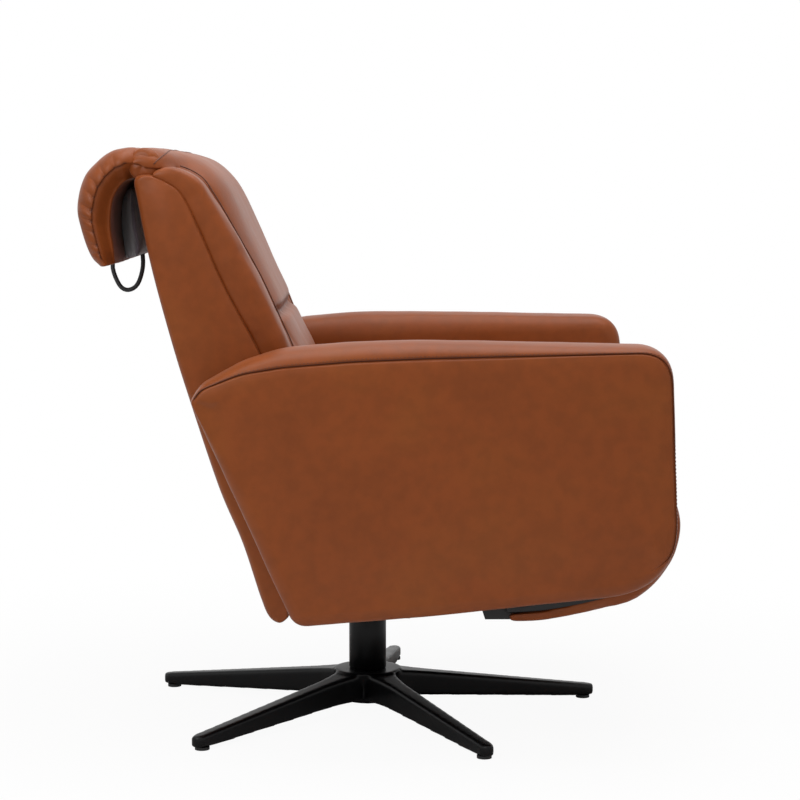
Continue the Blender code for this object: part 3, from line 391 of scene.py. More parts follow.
def beside(curve, distance):
    """An open curve moved to the left of its own direction."""
    moved = []
    for i, point in enumerate(curve):
        along = (curve[min(i + 1, len(curve) - 1)] - curve[max(i - 1, 0)]).normalized()
        moved.append(point + Vector((-along.y, along.x)) * distance)
    return moved


def around(centre, radius, count):
    """Points of a circle."""
    angles = [2 * math.pi * k / count for k in range(count)]
    return [Vector(centre) + Vector((math.cos(a), math.sin(a))) * radius for a in angles]


def spread(count):
    """Places across a width, from -1 to 1 and closer together towards both ends."""
    return [math.sin(math.pi * (i / count - 0.5)) for i in range(count + 1)]


def at(point, y):
    """A point of the side plane, in the frame."""
    return Vector((point[0] + SWIVEL_X, y, point[1]))


def side_of(point):
    """A point of the frame, back in the side plane."""
    return Vector((point.x - SWIVEL_X, point.z))


def ease(value, low, high):
    t = min(1.0, max(0.0, (value - low) / (high - low)))
    return t * t * (3 - 2 * t)


# Meshes

def ring_edges(row):
    members = set(row)
    return list({edge for vert in row for edge in vert.link_edges if edge.other_vert(vert) in members})


def grow_ring(bm, row, points):
    """Extrude the last ring of a tube and move it to the next points."""
    index = {vert: i for i, vert in enumerate(row)}
    before = len(bm.verts)
    bmesh.ops.extrude_edge_only(bm, edges=ring_edges(row))
    bm.verts.ensure_lookup_table()
    fresh = [None] * len(row)
    for vert in bm.verts[before:]:
        mate = next(edge.other_vert(vert) for edge in vert.link_edges if edge.other_vert(vert) in index)
        fresh[index[mate]] = vert
    for vert, point in zip(fresh, points):
        vert.co = point
    return fresh


def loft(rings):
    """A closed skin through rings of points, drawn ring by ring and filled at both ends."""
    bm = bmesh.new()
    first = [bm.verts.new(p) for p in rings[0]]
    for i in range(len(first)):
        bm.edges.new((first[i - 1], first[i]))
    row = first
    for points in rings[1:]:
        row = grow_ring(bm, row, points)
    caps = []
    for end in (first, row):
        caps += bmesh.ops.contextual_create(bm, geom=ring_edges(end))["faces"]
    bmesh.ops.recalc_face_normals(bm, faces=bm.faces)
    return bm, caps


def grid_cap(bm, face, spacing):
    """Cut a flat end, square to Y, into a grid so that it can be shaped."""
    low = Vector((min(v.co.x for v in face.verts), 0, min(v.co.z for v in face.verts)))
    high = Vector((max(v.co.x for v in face.verts), 0, max(v.co.z for v in face.verts)))
    faces = [face]
    for axis in (Vector((1, 0, 0)), Vector((0, 0, 1))):
        start, end = low.dot(axis), high.dot(axis)
        for i in range(1, int((end - start) / spacing) + 1):
            geom = set(faces)
            for item in faces:
                geom.update(item.edges)
                geom.update(item.verts)
            spot = axis * (start + spacing * i)
            cut = bmesh.ops.bisect_plane(bm, geom=list(geom), dist=1e-7, plane_co=spot, plane_no=axis)
            faces = [g for g in cut["geom"] if isinstance(g, bmesh.types.BMFace)]
    return faces


def meshed(name, bm):
    mesh = bpy.data.meshes.new(name)
    bm.to_mesh(mesh)
    bm.free()
    return mesh


def linked(name, data):
    obj = bpy.data.objects.new(name, data)
    bpy.context.scene.collection.objects.link(obj)
    return obj


def place(name, shape, look, body, nodes=(), levels=0):
    """A finished piece at the origin that rides on a body and stands for its frame nodes."""
    mesh = shape if isinstance(shape, bpy.types.Mesh) else meshed(name, shape)
    mesh.name = name
    mesh.shade_smooth()
    mesh.materials.clear()
    mesh.materials.append(LOOKS[look])
    obj = linked(name, mesh)
    if levels:
        subdivide(obj, levels)
    if body:
        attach(obj, body)
    if nodes:
        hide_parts(*nodes)
    return obj


def subdivide(obj, levels):
    finer = obj.modifiers.new("Finer", "SUBSURF")
    finer.levels = levels
    finer.render_levels = levels
    finer.use_limit_surface = False


def bake(obj):
    """Apply the object's modifiers to its mesh."""
    graph = bpy.context.evaluated_depsgraph_get()
    graph.update()
    mesh = bpy.data.meshes.new_from_object(obj.evaluated_get(graph))
    obj.modifiers.clear()
    old = obj.data
    obj.data = mesh
    bpy.data.meshes.remove(old)


def skinned(name, bm, voxel, relax):
    """An object with an even skin of the shape, its edges eased."""
    obj = linked(name, meshed(name, bm))
    skin = obj.modifiers.new("Skin", "REMESH")
    skin.mode = "VOXEL"
    skin.voxel_size = voxel
    bake(obj)
    soften(obj.data, relax)
    return obj


def taken(obj):
    """The mesh of an object that is no longer needed."""
    mesh = obj.data
    bpy.data.objects.remove(obj)
    return mesh


def stuff(name, bm, voxel, cap, held=None, relax=2):
    """A padded mesh: an even skin of the shape, blown up by cloth simulation where it isn't held."""
    obj = skinned(name + "_stuffing", bm, voxel, relax)
    swell(obj, cap, held)
    soften(obj.data, relax)
    return taken(obj)


def swell(obj, cap, held):
    """Blow the skin up, and move no point further than the cap."""
    scene = bpy.context.scene
    cloth = obj.modifiers.new("Cloth", "CLOTH")
    for key, value in CLOTH.items():
        setattr(cloth.settings, key, value)
    cloth.settings.effector_weights.gravity = 0
    cloth.collision_settings.use_collision = False
    if held:
        group = obj.vertex_groups.new(name="held")
        group.add([vert.index for vert in obj.data.vertices if held(vert.co)], 1.0, "REPLACE")
        cloth.settings.vertex_group_mass = "held"
    for step in range(1, STUFF_FRAMES + 1):
        scene.frame_set(step)
    graph = bpy.context.evaluated_depsgraph_get()
    blown = obj.evaluated_get(graph).to_mesh()
    moves = [b.co - a.co for a, b in zip(obj.data.vertices, blown.vertices)]
    obj.evaluated_get(graph).to_mesh_clear()
    obj.modifiers.clear()
    for vert, move in zip(obj.data.vertices, moves):
        if move.length > cap:
            move = move.normalized() * cap
        vert.co += move
    scene.frame_set(1)


def soften(mesh, times):
    bm = bmesh.new()
    bm.from_mesh(mesh)
    for _ in range(times):
        bmesh.ops.smooth_vert(
            bm, verts=bm.verts, factor=0.5, use_axis_x=True, use_axis_y=True, use_axis_z=True)
    bm.to_mesh(mesh)
    bm.free()


def ripple(mesh, height, size, seed):
    """Uneven padding: each point moves along its normal by smooth noise of a real size."""
    shift = Vector((seed * 3.7, seed * 1.9, seed * 5.3))
    moves = [vert.normal * (height * noise.noise(vert.co / size + shift)) for vert in mesh.vertices]
    for vert, move in zip(mesh.vertices, moves):
        vert.co += move


def tree_of(points):
    tree = KDTree(len(points))
    for i, point in enumerate(points):
        tree.insert(point, i)
    tree.balance()
    return tree


def crease(mesh, lines, deep, wide, painted_shade=1.0):
    """Press sewn lines into a mesh, and paint shade on the leather beside them in its seam attribute."""
    shade_layer = mesh.attributes.get("seam") or mesh.attributes.new("seam", "FLOAT", "POINT")
    tree = tree_of([p for line in lines for p in line])
    moves = []
    for vert in mesh.vertices:
        _, _, distance = tree.find(vert.co)
        if distance > 4 * wide:
            moves.append(None)
            continue
        fall = math.exp(-(distance / wide) ** 2)
        moves.append(vert.normal * -deep * fall)
        # Painted shade, strongest on the line and fading beside it
        near = painted_shade * math.exp(-(distance / (0.7 * wide)) ** 2)
        shade_layer.data[vert.index].value = max(shade_layer.data[vert.index].value, near)
    for vert, move in zip(mesh.vertices, moves):
        if move:
            vert.co += move


def stitch_row(name, path, body):
    """A row of thread stitches along a path of points on a surface."""
    bm = bmesh.new()
    length = sum((b - a).length for a, b in zip(path, path[1:]))
    stops = evenly(path, 2 * int(length / (STITCH_LONG + STITCH_GAP)) + 1)
    size = Matrix.Diagonal((STITCH_LONG / 2, STITCH_THICK / 2, STITCH_THICK / 2, 1))
    for start, end in zip(stops[0:-1:2], stops[1::2]):
        along = (end - start).normalized()
        turn = Vector((1, 0, 0)).rotation_difference(along).to_matrix().to_4x4()
        spot = Matrix.Translation((start + end) / 2)
        bmesh.ops.create_uvsphere(bm, u_segments=6, v_segments=4, radius=1.0, matrix=spot @ turn @ size)
    place(name, bm, "thread", body)


def tube(path, radius):
    """A thin round cord through a path of points."""
    rings = []
    for i, point in enumerate(path):
        along = (path[min(i + 1, len(path) - 1)] - path[max(i - 1, 0)]).normalized()
        side = along.orthogonal().normalized() if i == 0 else (side - along * side.dot(along)).normalized()
        other = along.cross(side)
        angles = [2 * math.pi * k / 8 for k in range(8)]
        rings.append([point + (side * math.cos(a) + other * math.sin(a)) * radius for a in angles])
    bm, _ = loft(rings)
    return bm


# Materials

def wire(tree, node, links=(), stops=(), **settings):
    """Give a node its settings, input values, colour stops and links."""
    for key, value in settings.items():
        if key in node.bl_rna.properties:
            setattr(node, key, value)
        else:
            node.inputs[key.replace("_", " ")].default_value = value
    for i, (spot, colour) in enumerate(stops):
        band = node.color_ramp.elements
        stop = band[i] if i < len(band) else band.new(spot)
        stop.position = spot
        stop.color = (*colour, 1)
    for source, socket in links:
        if isinstance(source, bpy.types.Node):
            source = next(output for output in source.outputs if output.enabled)
        tree.links.new(source, node.inputs[socket])
    return node


def add(tree, kind, links=(), stops=(), **settings):
    """One new node with its settings and links."""
    return wire(tree, tree.nodes.new(kind), links, stops, **settings)


def blank(name):
    """A new material with its node tree, its shader and the piece's own coordinates."""
    material = bpy.data.materials.new(name)
    material.use_nodes = True
    tree = material.node_tree
    spot = add(tree, "ShaderNodeTexCoord").outputs["Object"]
    return material, tree, tree.nodes["Principled BSDF"], spot


def shades(colour, dark, light):
    """Two stops of one colour, for the low and the high side of a noise."""
    return [(0.3, Vector(colour) * dark), (0.7, Vector(colour) * light)]


def aniline_leather(look):
    """Drum-dyed tan hide: cloudy colour, painted shade along the seams and in the creases, a fine pebble
    grain and a soft gloss.
    """
    material, tree, shader, spot = blank("aniline_leather")
    cloud = add(tree, "ShaderNodeTexNoise", [(spot, "Vector")], Scale=1 / look.cloud_size, Detail=4.0)
    base = Vector(look.leather)
    warm = Vector((base.x * 1.02, base.y * 1.10, base.z * 1.05))
    colour = add(tree, "ShaderNodeValToRGB", [(cloud, "Fac")],
                 [(0.30, base * 0.90), (0.50, base), (0.70, warm)])
    fleck = add(tree, "ShaderNodeTexNoise", [(spot, "Vector")],
                Scale=1 / (0.12 * look.cloud_size), Detail=3.0)
    fleck_tone = add(tree, "ShaderNodeValToRGB", [(fleck, "Fac")],
                     [(0.35, (0.42, 0.42, 0.42)), (0.65, (0.56, 0.55, 0.55))])
    mixed = add(tree, "ShaderNodeMix", [(colour, "A"), (fleck_tone, "B")],
                data_type="RGBA", blend_type="OVERLAY", Factor=0.45)
    # The seam attribute mixes in the seam colour as painted shade along seams and in creases
    seam = add(tree, "ShaderNodeAttribute", attribute_name="seam")
    sewn = add(tree, "ShaderNodeMix", [(seam.outputs["Fac"], "Factor"), (mixed, "A")],
               data_type="RGBA", B=(*look.seam, 1))
    gloss = add(tree, "ShaderNodeMapRange", [(fleck, "Value")],
                To_Min=look.roughness - 0.05, To_Max=look.roughness + 0.07)
    # Pebble grain of about 1 mm is drawn at twice its size so that it shows in the render
    grain = add(tree, "ShaderNodeTexVoronoi", [(spot, "Vector")],
                feature="DISTANCE_TO_EDGE", Scale=1 / look.grain_size)
    wrinkle = add(tree, "ShaderNodeTexNoise", [(spot, "Vector")], Scale=1 / (6 * look.grain_size), Detail=4.0)
    fine = add(tree, "ShaderNodeBump", [(grain, "Height")], Strength=0.16, Distance=0.0005)
    coarse = add(tree, "ShaderNodeBump", [(wrinkle, "Height"), (fine, "Normal")],
                 Strength=0.22, Distance=0.0012)
    wire(tree, shader, [(sewn, "Base Color"), (gloss, "Roughness"), (coarse, "Normal")],
         Specular_IOR_Level=0.24, Sheen_Weight=0.08, Sheen_Roughness=0.35)
    return material


def waxed_thread(look):
    """Polyester sewing thread, twisted and waxed, a shade darker than the hide."""
    material, tree, shader, spot = blank("waxed_thread")
    ply = add(tree, "ShaderNodeTexNoise", [(spot, "Vector")], Scale=1 / 0.0009)
    tone = add(tree, "ShaderNodeValToRGB", [(ply, "Fac")],
               [(0.3, Vector(look.seam) * 1.2), (0.7, Vector(look.leather) * 0.75)])
    wire(tree, shader, [(tone, "Base Color")], Roughness=0.55)
    return material


def needled_felt(look):
    """Needle-punched lining felt: matt, fuzzy and slightly mottled."""
    material, tree, shader, spot = blank("needled_felt")
    fibre = add(tree, "ShaderNodeTexNoise", [(spot, "Vector")], Scale=1 / 0.0016, Detail=4.0)
    tone = add(tree, "ShaderNodeValToRGB", [(fibre, "Fac")], shades(look.lining, 0.7, 1.3))
    bump = add(tree, "ShaderNodeBump", [(fibre, "Height")], Strength=0.4, Distance=0.0006)
    wire(tree, shader, [(tone, "Base Color"), (bump, "Normal")], Roughness=0.9, Sheen_Weight=0.35)
    return material


def powder_coat(look):
    """Black polyester powder on metal: satin, with the faint orange peel of a baked coat."""
    material, tree, shader, spot = blank("powder_coated_metal")
    peel = add(tree, "ShaderNodeTexNoise", [(spot, "Vector")], Scale=1 / 0.0022, Detail=2.0)
    dust = add(tree, "ShaderNodeTexNoise", [(spot, "Vector")], Scale=1 / 0.05, Detail=5.0)
    base = Vector(look.black)
    tone = add(tree, "ShaderNodeValToRGB", [(dust, "Fac")], [(0.35, base * 0.85), (0.7, base * 1.35)])
    gloss = add(tree, "ShaderNodeMapRange", [(dust, "Value")], To_Min=0.28, To_Max=0.42)
    bump = add(tree, "ShaderNodeBump", [(peel, "Height")], Strength=0.15, Distance=0.0003)
    wire(tree, shader, [(tone, "Base Color"), (gloss, "Roughness"), (bump, "Normal")], Specular_IOR_Level=0.2)
    return material


def turned_steel():
    """Bright mild steel with the fine rings that turning leaves."""
    material, tree, shader, spot = blank("turned_steel")
    stretch = add(tree, "ShaderNodeMapping", [(spot, "Vector")], Scale=(1.0, 14.0, 1.0))
    rings = add(tree, "ShaderNodeTexNoise", [(stretch, "Vector")], Scale=1 / 0.008, Detail=3.0)
    tone = add(tree, "ShaderNodeValToRGB", [(rings, "Fac")],
               [(0.3, linear("#8f9092")), (0.7, linear("#b4b5b7"))])
    gloss = add(tree, "ShaderNodeMapRange", [(rings, "Value")], To_Min=0.24, To_Max=0.40)
    wire(tree, shader, [(tone, "Base Color"), (gloss, "Roughness")], Metallic=1.0)
    return material


def moulded_plastic(name, colour, roughness):
    """Injection-moulded plastic with a fine spark-eroded texture."""
    material, tree, shader, spot = blank(name)
    texture = add(tree, "ShaderNodeTexNoise", [(spot, "Vector")], Scale=1 / 0.0012, Detail=2.0)
    tone = add(tree, "ShaderNodeValToRGB", [(texture, "Fac")], shades(colour, 0.85, 1.2))
    bump = add(tree, "ShaderNodeBump", [(texture, "Height")], Strength=0.2, Distance=0.0002)
    wire(tree, shader, [(tone, "Base Color"), (bump, "Normal")], Roughness=roughness)
    return material


def birch_plywood():
    """Raw birch plywood: pale, with long grain streaks and thin glue lines."""
    material, tree, shader, spot = blank("birch_plywood")
    stretch = add(tree, "ShaderNodeMapping", [(spot, "Vector")], Scale=(1.0, 0.08, 6.0))
    streak = add(tree, "ShaderNodeTexNoise", [(stretch, "Vector")], Scale=1 / 0.012, Detail=5.0)
    tone = add(tree, "ShaderNodeValToRGB", [(streak, "Fac")],
               [(0.3, linear("#a9835a")), (0.7, linear("#c9a67a"))])
    wire(tree, shader, [(tone, "Base Color")], Roughness=0.7)
    return material


def make_looks(settings):
    LOOKS["leather"] = aniline_leather(settings)
    LOOKS["thread"] = waxed_thread(settings)
    LOOKS["lining_cloth"] = needled_felt(settings)
    LOOKS["black_coated_metal"] = powder_coat(settings)
    LOOKS["steel"] = turned_steel()
    LOOKS["black_plastic"] = moulded_plastic("moulded_black_plastic", linear("#0b0b0c"), 0.55)
    LOOKS["nylon"] = moulded_plastic("natural_nylon", linear("#c4c1b6"), 0.5)
    LOOKS["black_rubber"] = moulded_plastic("moulded_rubber", linear("#1b1b1d"), 0.62)
    LOOKS["plywood"] = birch_plywood()


# Arms

def arm_outline(crown):
    lifted = [(x, z + crown * rise, radius) for x, z, rise, radius in ARM_CORNERS]
    return evenly(rounded(lifted, 12), ARM_POINTS, closed=True)


def sewn_share(normal):
    """1 where the arm's outer panel is sewn to its band, on the top and front, and 0 where it wraps."""
    wrap = SEWN_FRONT_END if normal.x > 0 else SEWN_REAR_END
    return ease(normal.y, wrap, wrap + SEWN_FADE)


def edge_share(point, normal):
    """1 where the arm's edge is tight, as at its seam, and 0 where it is a soft roll."""
    if normal.x > 0:
        return ease(normal.y, *ROLL_FRONT)
    return 1.0 if normal.y > ROLL_REAR_TOP else ease(point.y, *ROLL_REAR)


def edge_inset(share):
    """How far the arm's edge turns in, between its soft roll and its tight seam."""
    return ARM_SOFT_EDGE + (ARM_SEAM_EDGE - ARM_SOFT_EDGE) * share


def inset(points, normals, amounts):
    return [p - n * a for p, n, a in zip(points, normals, amounts)]


def arm_rings(side):
    """Rings from the inner face over the crowned band to the seam."""
    half = (ARM_EDGE - ARM_INNER) / 2
    middle = ARM_INNER + half
    rings = []
    for i in range(ARM_STEPS + 1):
        angle = math.pi * (i / ARM_STEPS - 0.5)
        outline = arm_outline(math.cos(angle))
        normals = outward(outline)
        across = half * math.sin(angle)
        into_edge = max(0.0, (abs(across) - half + ARM_SOFT_EDGE) / ARM_SOFT_EDGE)
        turn = 1 - math.sqrt(max(0.0, 1 - into_edge ** 2))
        shares = [edge_share(p, n) if across > 0 else 0.0 for p, n in zip(outline, normals)]
        band = inset(outline, normals, [turn * edge_inset(s) for s in shares])
        if i == 0:
            centre = sum(outline, Vector((0, 0))) / len(outline)
            for share in (0.5, 0.8, 0.95):
                rings.append([at(centre.lerp(p, share), side * ARM_INNER) for p in band])
        rings.append([at(p, side * (middle + across)) for p in band])
    return rings


def arm_panel_rings(side):
    """Rings of the outer panel, from the bottom of its seam inwards, still flat."""
    outline = arm_outline(0)
    normals = outward(outline)
    shares = [sewn_share(n) for n in normals]
    edge = inset(outline, normals, [edge_inset(edge_share(p, n)) for p, n in zip(outline, normals)])
    centre = sum(outline, Vector((0, 0))) / len(outline)
    rings = []
    for distance in ARM_PANEL_RINGS:
        ring = [p + (centre - p).normalized() * distance for p in edge]
        deep = ARM_SEAM_DEEP if distance == ARM_PANEL_RINGS[0] else 0.0
        rings.append([at(p, side * (ARM_EDGE - deep * s)) for p, s in zip(ring, shares)])
    return rings, [at(p, side * ARM_EDGE) for p in edge], shares


def puff_arm_panel(bm, cells, side, edge, shares):
    """Roll the outer panel up from its seam and dome it."""
    tree = tree_of(edge)
    inside = {vert for cell in cells for vert in cell.verts}
    rim = ARM_EDGE - 1e-5
    for vert in bm.verts:
        if vert in inside or abs(vert.co.y) > rim:
            _, index, distance = tree.find(vert.co)
            share = shares[index]
            roll = share * (1 - math.exp(-distance / ARM_ROLL_RISE)) * math.exp(-distance / ARM_ROLL_FALL)
            puffed = 1 - math.exp(-distance / ARM_PUFFED_REACH)
            level = 1 - math.exp(-(distance / ARM_LEVEL_REACH) ** 2)
            dome = level + (puffed - level) * share
            vert.co.y += side * (ARM_PANEL_ROLL * roll + ARM_PANEL_DOME * dome)


def build_arm(name, side):
    inner = arm_rings(side)
    outer, edge, shares = arm_panel_rings(side)
    bm, caps = loft(inner + outer)
    panel = max(caps, key=lambda face: abs(face.calc_center_median().y))
    puff_arm_panel(bm, grid_cap(bm, panel, ARM_GRID), side, edge, shares)
    arm = place(f"arm_{name}_cover", bm, "leather", "seat", (f"arm_{name}",))
    for height, size, seed in ARM_RIPPLES:
        ripple(arm.data, height, size, seed + side)
    sewn = [p for p, s in zip(edge, shares) if s > SEAM_SHARE]
    # Painted shade along the arm's seam, with no groove pressed in
    crease(arm.data, [sewn], deep=0.0, wide=ARM_SEAM_SHADE_WIDE)
    subdivide(arm, 1)
    row = []
    for near, far, normal, share in zip(inner[-2], inner[-4], outward(arm_outline(0)), shares):
        if share > STITCH_SHARE:
            front = max(0.0, normal.x)
            proud = Vector((-STITCH_SUNK * front, side * STITCH_PROUD, STITCH_PROUD))
            row.append(near.lerp(far, front) + proud)
    stitch_row(f"arm_{name}_stitches", row, "seat")


def build_arms():
    for name, side in SIDES:
        build_arm(name, side)


# Back

def shell_outline():
    rear = spline(BACK_REAR, 10)
    foot = spline((BACK_REAR[-1], *BACK_FOOT), 10)[1:-1]
    front = spline((BACK_FOOT[-1], *BACK_FRONT, BACK_TOP), 8)
    top = spline((BACK_TOP, *BACK_SHOULDER, BACK_REAR[0]), 5)[1:-1]
    return evenly(rear + foot + front + top, 320, closed=True)


def clear_of_hinge(point):
    """Points in the trough of the headrest's hinge are lowered to its wall."""
    away = point - Vector(HEAD_PIVOT)
    if away.length >= TROUGH_RADIUS:
        return point
    return Vector((point.x, HEAD_PIVOT[1] - math.sqrt(TROUGH_RADIUS ** 2 - away.x ** 2)))


def build_shell():
    outline = shell_outline()
    normals = outward(outline)
    clear = [clear_of_hinge(p) for p in outline]
    soft = [BACK_SEAM_TUCK + (BACK_SOFT_TUCK - BACK_SEAM_TUCK) * ease(-n.x, 0.0, 0.6) for n in normals]
    rings = []
    for i in range(BACK_STEPS + 1):
        share = math.sin(math.pi / 2 * i / BACK_STEPS)
        y = BACK_ROUND * (1 - math.sqrt(1 - share ** 2))
        rings.append((BACK_HALF - y, inset(outline, normals, [a * (1 - share) for a in soft])))
    rings[-1] = (EAR_AT, rings[-1][1])
    rings += [(y, clear) for y in BACK_INSIDE]
    rings += [(-y, ring) for y, ring in reversed(rings[:-1])]
    bm, caps = loft([[at(p, y) for p in ring] for y, ring in rings])
    end_tree = tree_of([at(p, 0) for p in rings[0][1]])
    for cap in caps:
        side = 1 if cap.calc_center_median().y > 0 else -1
        for vert in {v for f in grid_cap(bm, cap, BACK_GRID) for v in f.verts}:
            _, _, distance = end_tree.find(Vector((vert.co.x, 0, vert.co.z)))
            dome = BACK_DOME + (BACK_TOP_DOME - BACK_DOME) * ease(vert.co.z, BACK_DOME_FROM, BACK_DOME_FULL)
            vert.co.y += side * dome * (1 - math.exp(-distance / BACK_DOME_REACH))
    shell = place("back_shell_cover", bm, "leather", "backrest", ("back_shell",))
    ripple(shell.data, height=0.0012, size=0.13, seed=3)
    subdivide(shell, 1)


def freedom(outline, rest):
    """0 where an outline lies on the line that it rests on, and 1 away from it."""
    tree = tree_of([Vector((p.x, 0, p.y)) for p in rest])
    return [ease(tree.find(Vector((p.x, 0, p.y)))[2], *PAD_HELD) for p in outline]


def pad_rings(rest, face, low, high, tuck, edge, count):
    """Closed side outline between a resting line and a face, drawn in towards both ends."""
    outline = evenly(rest + face[::-1], 120, closed=True)
    normals = outward(outline)
    free = freedom(outline, rest)
    steps = [math.sin(math.pi / 2 * i / count) for i in range(count + 1)]
    spots = [(low + edge * (1 - math.sqrt(1 - s * s)), s) for s in steps]
    spots += [(high - edge * (1 - math.sqrt(1 - s * s)), s) for s in reversed(steps)]
    rings = []
    for y, s in spots:
        rings.append([at(p - n * (tuck * (1 - s) * f), y) for p, n, f in zip(outline, normals, free)])
    return rings


def resting_line(top):
    """The shell's front, a little inside it, where the bolsters and the panel are sewn on."""
    front = beside(spline((BACK_FOOT[-1], *BACK_FRONT, BACK_TOP), 10), SEAM_SINK)
    return [p for p in front if PANEL_LOW < p.y < top]


def notched(ring):
    """A ring with its points kept out of the hinge's trough."""
    return [at(clear_of_hinge(side_of(p)), p.y) for p in ring]


def build_bolsters():
    rest = resting_line(BOLSTER_TOP)
    face = spline(BOLSTER_FACE, 10)[::-1]
    inner = BOLSTER_STEPS + 1
    for name, side in SIDES:
        low, high = sorted((side * BOLSTER_INNER, side * (BACK_HALF - BOLSTER_SIDE_IN)))
        rings = pad_rings(rest, face, low, high, BOLSTER_TUCK, BOLSTER_EDGE, BOLSTER_STEPS)
        if side > 0:
            rings.reverse()
        ear = [Vector((p.x, side * (EAR_AT + EAR_STEP), p.z)) for p in rings[BOLSTER_STEPS]]
        step = notched([Vector((p.x, side * (EAR_AT - EAR_STEP), p.z)) for p in ear])
        rings = rings[:inner] + [ear, step] + [notched(ring) for ring in rings[inner:]]
        bm, _ = loft(rings if side < 0 else rings[::-1])
        mesh = stuff(f"bolster_{name}_cover", bm, BOLSTER_SKIN, BOLSTER_SWELL)
        ripple(mesh, height=0.0012, size=0.035, seed=7 + side)
        roll = place(f"bolster_{name}_cover", mesh, "leather", "backrest", (f"bolster_{name}",), 1)


def panel_drop(point, across):
    """How far the panel's surface lies under its middle line, and its half width there."""
    tail = ease(-point.x, TAIL_FROM, TAIL_FULL)
    half = PANEL_HALF + (TAIL_HALF - PANEL_HALF) * tail
    inwards = half * (1 - abs(across))
    wide = 1 - (1 - min(1.0, inwards / PANEL_CROWN_WIDE)) ** PANEL_CROWN_POWER
    steep = math.sqrt(1 - (1 - min(1.0, inwards / TAIL_EDGE)) ** 2)
    return PANEL_CROWN * (1 - wide - (steep - wide) * tail), half


def panel_rings(face):
    """Side outlines of the panel, lower towards both its edges."""
    rest = resting_line(PANEL_REST_TOP)
    outline = evenly(rest + spline(PANEL_TAIL_UNDER, 8) + face, 200, closed=True)
    normals = outward(outline)
    free = freedom(outline, rest)
    rings = []
    for across in spread(PANEL_STEPS):
        ring = []
        for point, normal, share in zip(outline, normals, free):
            drop, half = panel_drop(point, across)
            down = Vector((normal.x, abs(normal.y))) if -point.x > TAIL_FROM else normal
            ring.append(at(point - down * drop * share, across * half))
        rings.append(ring)
    return rings


def fold_line():
    """The sewn fold between the back's two cushions."""
    low = Vector(FOLD_LOW)
    line = []
    for across in spread(SEAM_STEPS):
        drop, half = panel_drop(low, across)
        line.append(at(low - Vector(FOLD_NORMAL) * drop, across * half))
    return line


def cross_line(face):
    """The seam across the panel's top, which slants back towards its ends."""
    top = [p for p in face if CROSS_SEAM_NEAR[0] < -p.x < CROSS_SEAM_NEAR[1]]
    line = []
    for across in spread(SEAM_STEPS):
        drop, _ = panel_drop(Vector((-CROSS_SEAM_AT - CROSS_SEAM_SLANT, 0)), across)
        x = -CROSS_SEAM_AT - CROSS_SEAM_SLANT * drop / PANEL_CROWN
        height = min(top, key=lambda p: abs(p.x - x)).y
        drop, half = panel_drop(Vector((x, height)), across)
        line.append(at((x, height - drop), across * half))
    return line


def build_panel():
    """The back's middle panel: one hide from the seat over the top and on over the headrest's hinge."""
    face = spline(PANEL_FACE, 10)
    bm, _ = loft(panel_rings(face))
    mesh = stuff("back_panel_cover", bm, PANEL_SKIN, PANEL_SWELL)
    ripple(mesh, height=0.0012, size=0.06, seed=11)
    # The fold and the pulls are pressed in and get painted shade beside them
    crease(mesh, [fold_line()], FOLD_DEEP, FOLD_WIDE, FOLD_SHADE)
    pulls = []
    for _, side in SIDES:
        for start, end, y in PANEL_PULLS:
            pulls.append(evenly([at(start, side * y), at(end, side * (y - PULL_SLANT))], 14))
    crease(mesh, pulls, PULL_DEEP, PULL_WIDE, PULL_SHADE)
    panel = place("back_panel_cover", mesh, "leather", None, ("back_cushion", "lumbar_cushion"), 1)
    graph = bpy.context.evaluated_depsgraph_get()
    graph.update()
    sewn = [panel.closest_point_on_mesh(p, depsgraph=graph)[1].copy() for p in cross_line(face)]
    seam = place("back_panel_cross_seam", tube(sewn, SEAM_CORD), "thread", None)
    for name, side in SIDES:
        line = []
        for point in beside(spline(BOLSTER_FACE, 10), PANEL_SEAM_UP):
            if -point.x < PANEL_SEAM_TOP:
                line.append(at(point, side * (panel_drop(point, 1)[1] + PANEL_SEAM_OUT)))
        place(f"back_panel_seam_{name}", tube(line, SEAM_CORD), "thread", "backrest")
    for piece in (panel, seam):
        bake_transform(piece)


# Headrest

def half_section(half, thick):
    """Half of the pad's section as (height, y, gather), from the outer face round its end to the inner."""
    depth = half * HEADREST_END
    path = [(thick / 2, (half - depth) * i / 24, 0.0) for i in range(24)]
    for i in range(25):
        angle = math.pi / 2 * i / 24
        path.append((thick / 2 * math.cos(angle), half - depth + depth * math.sin(angle), ease(i, 6, 22)))
    path.append((-END_SEAM_DEEP, half - END_SEAM_IN, 0.0))
    for i in range(1, 11):
        t = i / 10
        turned = GUSSET_START + (GUSSET_IN - GUSSET_START) * ease(t, 0, 1)
        path.append((-thick / 2 * t, half - turned, GUSSET_GATHER * (1 - t)))
    path += [(-thick / 2, (half - GUSSET_IN) * (1 - i / 12), 0.0) for i in range(1, 13)]
    return path


def headrest_ring(outer, inner, share):
    """One section of the pad across the chair."""
    start = HEADREST_START_IN * (1 - ease(share, 0.0, 0.12))
    half = HEADREST_HALF - start - HEADREST_LIP_IN * ease(share, 0.85, 1.0)
    thick = (outer - inner).length
    up = (outer - inner).normalized()
    middle = (outer + inner) / 2
    path = half_section(half, thick)
    ring = []
    for n, y, gather in path + [(n, -y, gather) for n, y, gather in reversed(path)][1:-1]:
        side = 1 if y > 0 else -1
        lift = PLEAT_HIGH * gather * pleat(share, side)
        ring.append(at(middle + up * (n + lift * max(0.0, n) / (thick / 2)), y + side * lift))
    return ring


def pleat(share, side):
    """Ridges of the gathered leather along the pad's end, unevenly spaced."""
    drift = 0.35 * noise.noise(Vector((share * 9, side * 2.3, 0.7)))
    phase = share * PLEATS + drift
    ridge = abs(math.sin(math.pi * phase)) ** 0.6
    strength = 0.6 + 0.5 * noise.noise(Vector((share * 6, side * 4.1, 3.2)))
    return (ridge - 0.75) * strength * ease(share, 0.08, 0.20) * (1 - ease(share, 0.9, 1.0))


